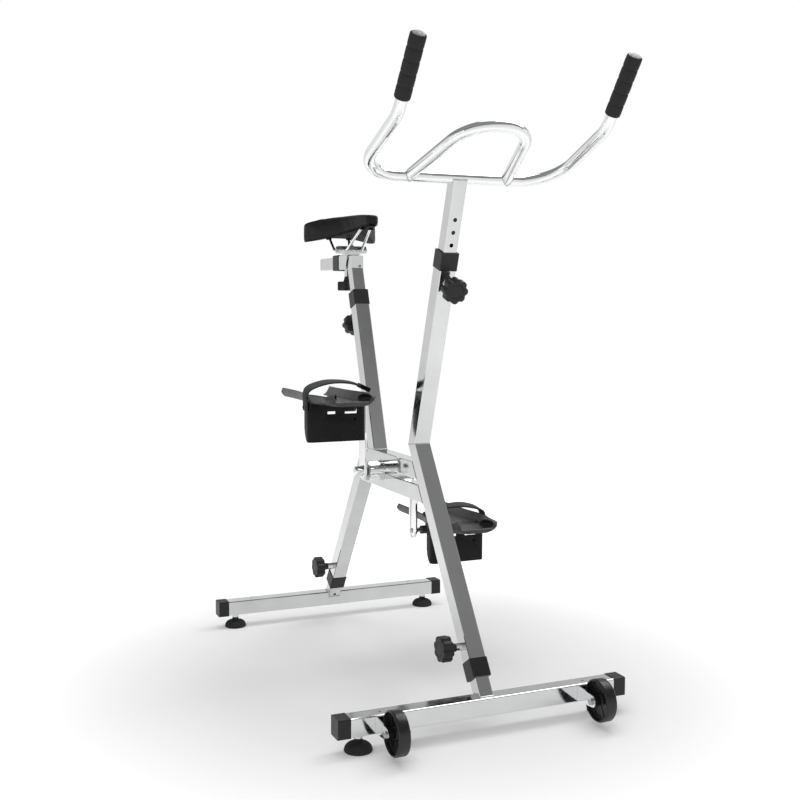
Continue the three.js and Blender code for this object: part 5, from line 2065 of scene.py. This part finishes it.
    def blow_up(self, made: bpy.types.Object) -> None:
        """Blows a cushion up a little, with its underside held on the pan.

        Args:
            made: The cushion's object, which keeps the result.
        """
        start = [vertex.co.copy() for vertex in made.data.vertices]
        normals = [vertex.normal.copy() for vertex in made.data.vertices]
        held = made.vertex_groups.new(name="held")
        held.add([i for i, normal in enumerate(normals) if normal.z < -0.6], 1.0, "REPLACE")
        cloth = made.modifiers.new("cloth", "CLOTH")
        cloth.settings.use_pressure = True
        cloth.settings.uniform_pressure_force = 4
        cloth.settings.vertex_group_mass = held.name
        cloth.settings.effector_weights.gravity = 0
        cloth.settings.tension_stiffness = cloth.settings.compression_stiffness = 20
        cloth.settings.bending_stiffness = 1.5
        cloth.point_cache.frame_start, cloth.point_cache.frame_end = 1, 20
        for step in range(1, 21):
            bpy.context.scene.frame_set(step)
        settle(made)
        bpy.context.scene.frame_set(1)
        most = self.cap * MM
        for vertex, before in zip(made.data.vertices, start):
            way = vertex.co - before
            if way.length > most:
                vertex.co = before + way * (most / way.length)

    def build_seam(self) -> None:
        """Builds the welt along the cushion's lower edge, where the cover is joined."""
        hem, middle = 14, 20
        rings = self.rings(self.slack * 0.6)
        left = rings[0][middle - 1 : hem : -1] + [ring[hem] for ring in rings] + rings[-1][hem + 1 : middle]
        right = [Vector((-point.x, point.y, point.z)) for point in reversed(left)]
        line = left + right
        smoothed = [(line[i - 1] + line[i] * 2 + line[(i + 1) % len(line)]) / 4 for i in range(len(line))]
        welt = swept(smoothed, circle(1.1, 10), Vector((0, 0, 1)), loop=True)
        Piece("saddle_welt", welt, FINISH.cover, "saddle").build()

    def build_pan(self) -> None:
        """Builds the moulded pan, which follows the cushion's underside, with its sockets."""
        rings = []
        columns = [-1 + i / 8 for i in range(17)]
        for share in self.shares()[2:-2]:
            half = self.half_at(share) - self.pan_inset
            high = [(half * x, self.under_at(share, half * x) + 1.2) for x in columns]
            low = [(x, z - 1.2 - self.pan * (1 - 0.6 * (x / half) ** 8)) for x, z in reversed(high)]
            rings.append([Vector((x, self.along(share), z)) for x, z in high + low])
        sockets = []
        for x, place in ((12, -69), (30, 148)):
            share = (place + self.nose) / self.length
            under = self.under_at(share, x) - self.pan
            for hand in (-1, 1):
                socket = pressed(box_outline(13, 17, 4, 3), under - 3.5, under + 1)
                sockets.append(socket.shifted(hand * x, self.along(share), 0))
        pan = lofted(rings).plus(*sockets)
        nodes = ("saddle_pan",)
        Piece("saddle_shell", pan, FINISH.black, "saddle", nodes, bevel=0.6).build()

    def rail_end(self, x: float, place: float) -> float:
        """Returns the rail's height where it goes into the pan."""
        return self.under_at((place + self.nose) / self.length, x) + 2

    def build_rails(self) -> None:
        """Builds the bent rails."""
        corners = [
            (30.0, 148.0, self.rail_end(30, 148)),
            (self.rail_spread, 122.0, self.rail_height),
            (self.rail_spread, 22.0, self.rail_height),
            (12.0, -69.0, self.rail_end(12, -69)),
        ]
        corners += [(-x, y, z) for x, y, z in reversed(corners)]
        line = filleted(corners, [9] * 6, 8)
        rails = swept(line, circle(self.rail_diameter / 2, 20), Vector((0, 0, 1)))
        rails = rails.shifted(0, PLACES.arm.translation.y, 0)
        Piece("saddle_rail_pair", rails, FINISH.bar, "saddle", ("saddle_rails",)).build()

    def build_clamp(self) -> None:
        """Builds the clamp: two grooved plates, the cross bolt and the upright bolt."""
        middle = PLACES.arm.translation.y + self.clamp_middle
        half, reach = 15.0, self.clamp_width / 2
        gap, low = self.rail_height, self.clamp_bottom
        body = "saddle"
        groove = pressed(circle(self.rail_diameter / 2 + 0.25, 24), -30, 30).facing(Facing.FORWARD)
        grooves = tuple(groove.shifted(hand * self.rail_spread, middle, gap) for hand in (-1, 1))
        outline = rounded([(reach, -half), (reach, half), (-reach, half), (-reach, -half)], 4, 4)
        levels = ((low, gap - 0.9), (gap + 0.9, low + 19))
        lower, upper = (pressed(outline, *level).shifted(0, middle, 0) for level in levels)
        shared = {"bevel": 0.8, "cuts": grooves, "slot": "polished_steel"}
        Piece("clamp_lower_plate", lower, FINISH.tube, body, ("saddle_clamp",), **shared).build()
        # The upper plate is coloured dark as painted shade under the saddle.
        Piece("clamp_upper_plate", upper, FINISH.plate, body, **shared).build()
        ends = Shape()
        for hand, facing in ((-1, Facing.RIGHT), (1, Facing.LEFT)):
            head = hexagon(11, 0, 5.5).facing(facing)
            ends = ends.plus(head.shifted(hand * (reach - 0.4), middle, gap))
        Piece("clamp_cross_bolt", ends, FINISH.bolt, body, bevel=0.2).build()
        bolt = hexagon(13, low + 18.8, low + 24).shifted(0, middle, 0)
        washer = turned([(0, 0), (9, 0), (9, 1.4), (0, 1.4)], 32).shifted(0, middle, low + 18.6)
        Piece("clamp_bolt", bolt.plus(washer), FINISH.bolt, body, bevel=0.2).build()


# The studio


@dataclass
class Studio:
    """The floor, the light and the camera at the photograph's angle."""

    camera_at: Triple = (-1.0927, -2.5113, 0.9126)  # The camera's place in metres
    # Its turn in degrees: pitch from straight down, roll and yaw
    look: Triple = (85.27, 0.0, -23.10)
    lens: float = 50.2  # Its focal length on a sensor of 36 mm
    ambient: float = 0.4  # The world's even light on dull surfaces
    # The world's light as gloss shows it, as steps of height and level
    ceiling: tuple[Pair, ...] = (
        *((0.0, 0.82), (0.25, 0.8), (0.36, 0.45)),
        *((0.55, 0.2), (0.72, 0.27), (1.0, 0.25)),
    )
    # What the floor adds of its own to the camera and to gloss, close to the bike, where the lower glow
    # paints the floor darker as painted shade
    floor_glow: float = 0.13
    far_glow: float = 0.68  # What it adds far from the bike, where it turns white
    near: float = 0.35  # Where the glow starts to rise, from the bike's middle
    far: float = 1.45  # Where it has risen
    in_gloss: Pair = (0.5, 0.14)  # Share of the glow that gloss shows, and what it shows besides

    def build(self) -> None:
        """Builds the studio."""
        self.build_camera()
        self.build_world()
        self.build_floor()
        self.build_lamps()
        bpy.context.scene.view_settings.view_transform = "Standard"

    def build_camera(self) -> None:
        """Places the camera."""
        data = bpy.data.cameras.new("camera")
        data.lens = self.lens
        data.sensor_width = 36
        data.sensor_fit = "HORIZONTAL"
        camera = bpy.data.objects.new("camera", data)
        camera.location = self.camera_at
        camera.rotation_euler = [math.radians(angle) for angle in self.look]
        bpy.context.scene.collection.objects.link(camera)
        bpy.context.scene.camera = camera

    def build_world(self) -> None:
        """Sets the world: even on dull surfaces, white to the camera, a dim ceiling in gloss."""
        world = bpy.data.worlds.new("studio")
        bpy.context.scene.world = world
        board = Board(world)
        place = board.add("ShaderNodeTexCoord").outputs["Generated"]
        height = board.add("ShaderNodeSeparateXYZ", place).outputs["Z"]
        ramp = board.add("ShaderNodeValToRGB", height)
        stops = ramp.color_ramp.elements
        while len(stops) < len(self.ceiling):
            stops.new(0.5)
        for stop, (share, level) in zip(stops, self.ceiling):
            stop.position, stop.color = share, (level, level, level, 1)
        path = board.add("ShaderNodeLightPath")
        even, gloss, white = (
            board.add("ShaderNodeBackground", colour).outputs[0]
            for colour in ((self.ambient,) * 3 + (1,), ramp.outputs["Color"], (1, 1, 1, 1))
        )
        unseen = board.add("ShaderNodeMixShader", board.in_reflections(path), even, gloss).outputs[0]
        seen = board.add("ShaderNodeMixShader", path.outputs["Is Camera Ray"], unseen, white)
        board.add("ShaderNodeOutputWorld", seen.outputs[0])

    def build_floor(self) -> None:
        """Builds the plain floor, which keeps the bike's shadow; its glow, low close to the bike and white
        far off, paints it darker round the bike as painted shade.
        """
        floor = as_object("floor", block((-14000, -14000, -20), (14000, 14000, -0.2)))
        bench = Bench("studio_floor")
        bench.set(Roughness=0.9, Specular_IOR_Level=0.0, Emission_Color=(1, 1, 1, 1))
        bench.tint(bench.grain(0.5, 1), (0.8, 0.8, 0.8), (0.805, 0.805, 0.805))
        path = bench.add("ShaderNodeLightPath")
        away = bench.add("ShaderNodeVectorMath", bench.place, operation="LENGTH").outputs["Value"]
        # The glow rises with the distance from the bike's middle: close to the bike the floor is left darker,
        # a painted shade, and far off it turns white.
        rise = bench.add(
            "ShaderNodeMapRange",
            away,
            self.near,
            self.far,
            self.floor_glow,
            self.far_glow,
            interpolation_type="SMOOTHSTEP",
        ).outputs["Result"]
        mirrored = bench.math("MULTIPLY_ADD", rise, *self.in_gloss)
        shown = bench.math("MULTIPLY", bench.in_reflections(path), mirrored)
        glow = bench.math("MULTIPLY_ADD", path.outputs["Is Camera Ray"], rise, shown)
        bench.link(glow, bench.shader.inputs["Emission Strength"])
        floor.data.materials.append(bench.material)

    def build_lamps(self) -> None:
        """Hangs the softboxes."""
        beside = ((1.5, 0.4, 3.2), (0, 0, 0.2))
        Lamp("side_strip", *beside, (2.2, 2.2), 60, in_light=False).build()
        Lamp("side_soft", *beside, (1.0, 2.2), 30, in_gloss=False).build()
        Lamp("overhead", (-0.3, 0.2, 3.4), (-0.1, 0, 0), (1.8, 1.8), 26, in_gloss=False).build()
        Lamp("key", (-2.6, -2.6, 3.0), (0, 0, 0.6), (2.2, 2.2), 32, in_gloss=False).build()


@dataclass
class Lamp:
    """One softbox, with its sizes in metres."""

    name: str
    place: Triple
    target: Triple
    size: Pair
    power: float  # In watts
    in_gloss: bool = True  # Whether gloss shows it
    in_light: bool = True  # Whether it lights the dull surfaces

    def build(self) -> None:
        """Hangs the lamp and turns it to its target."""
        data = bpy.data.lights.new(self.name, "AREA")
        data.shape = "RECTANGLE"
        data.size, data.size_y = self.size
        data.energy = self.power
        lamp = bpy.data.objects.new(self.name, data)
        lamp.location = self.place
        way = Vector(self.target) - Vector(self.place)
        lamp.rotation_euler = way.to_track_quat("-Z", "Y").to_euler()
        lamp.visible_glossy = self.in_gloss
        lamp.visible_diffuse = self.in_light
        lamp.visible_camera = False
        bpy.context.scene.collection.objects.link(lamp)


def main() -> None:
    """Builds the bike and its studio, one sub-assembly after another."""
    logging.basicConfig(level=logging.INFO, format="%(message)s")
    sub_assemblies = {"studio": Studio(), "main frame": MainFrame(), "collars": Collars()}
    sub_assemblies |= {knob.node: knob for knob in clamping_knobs()}
    sub_assemblies |= {f"{end.word} base": Base(end) for end in End}
    sub_assemblies |= {f"{side.word} wheel": TransportWheel(side) for side in Side}
    sub_assemblies |= {"handlebar": Handlebar(), "crank": Crank()}
    sub_assemblies |= {f"{side.word} pedal": Pedal(side) for side in Side}
    sub_assemblies["saddle"] = Saddle()
    for name, assembly in sub_assemblies.items():
        before = set(bpy.data.objects.keys())
        assembly.build()
        for piece in sorted(set(bpy.data.objects.keys()) - before):
            LOG.info("%s: built %s", name, piece)


if __name__ == "__main__":
    main()
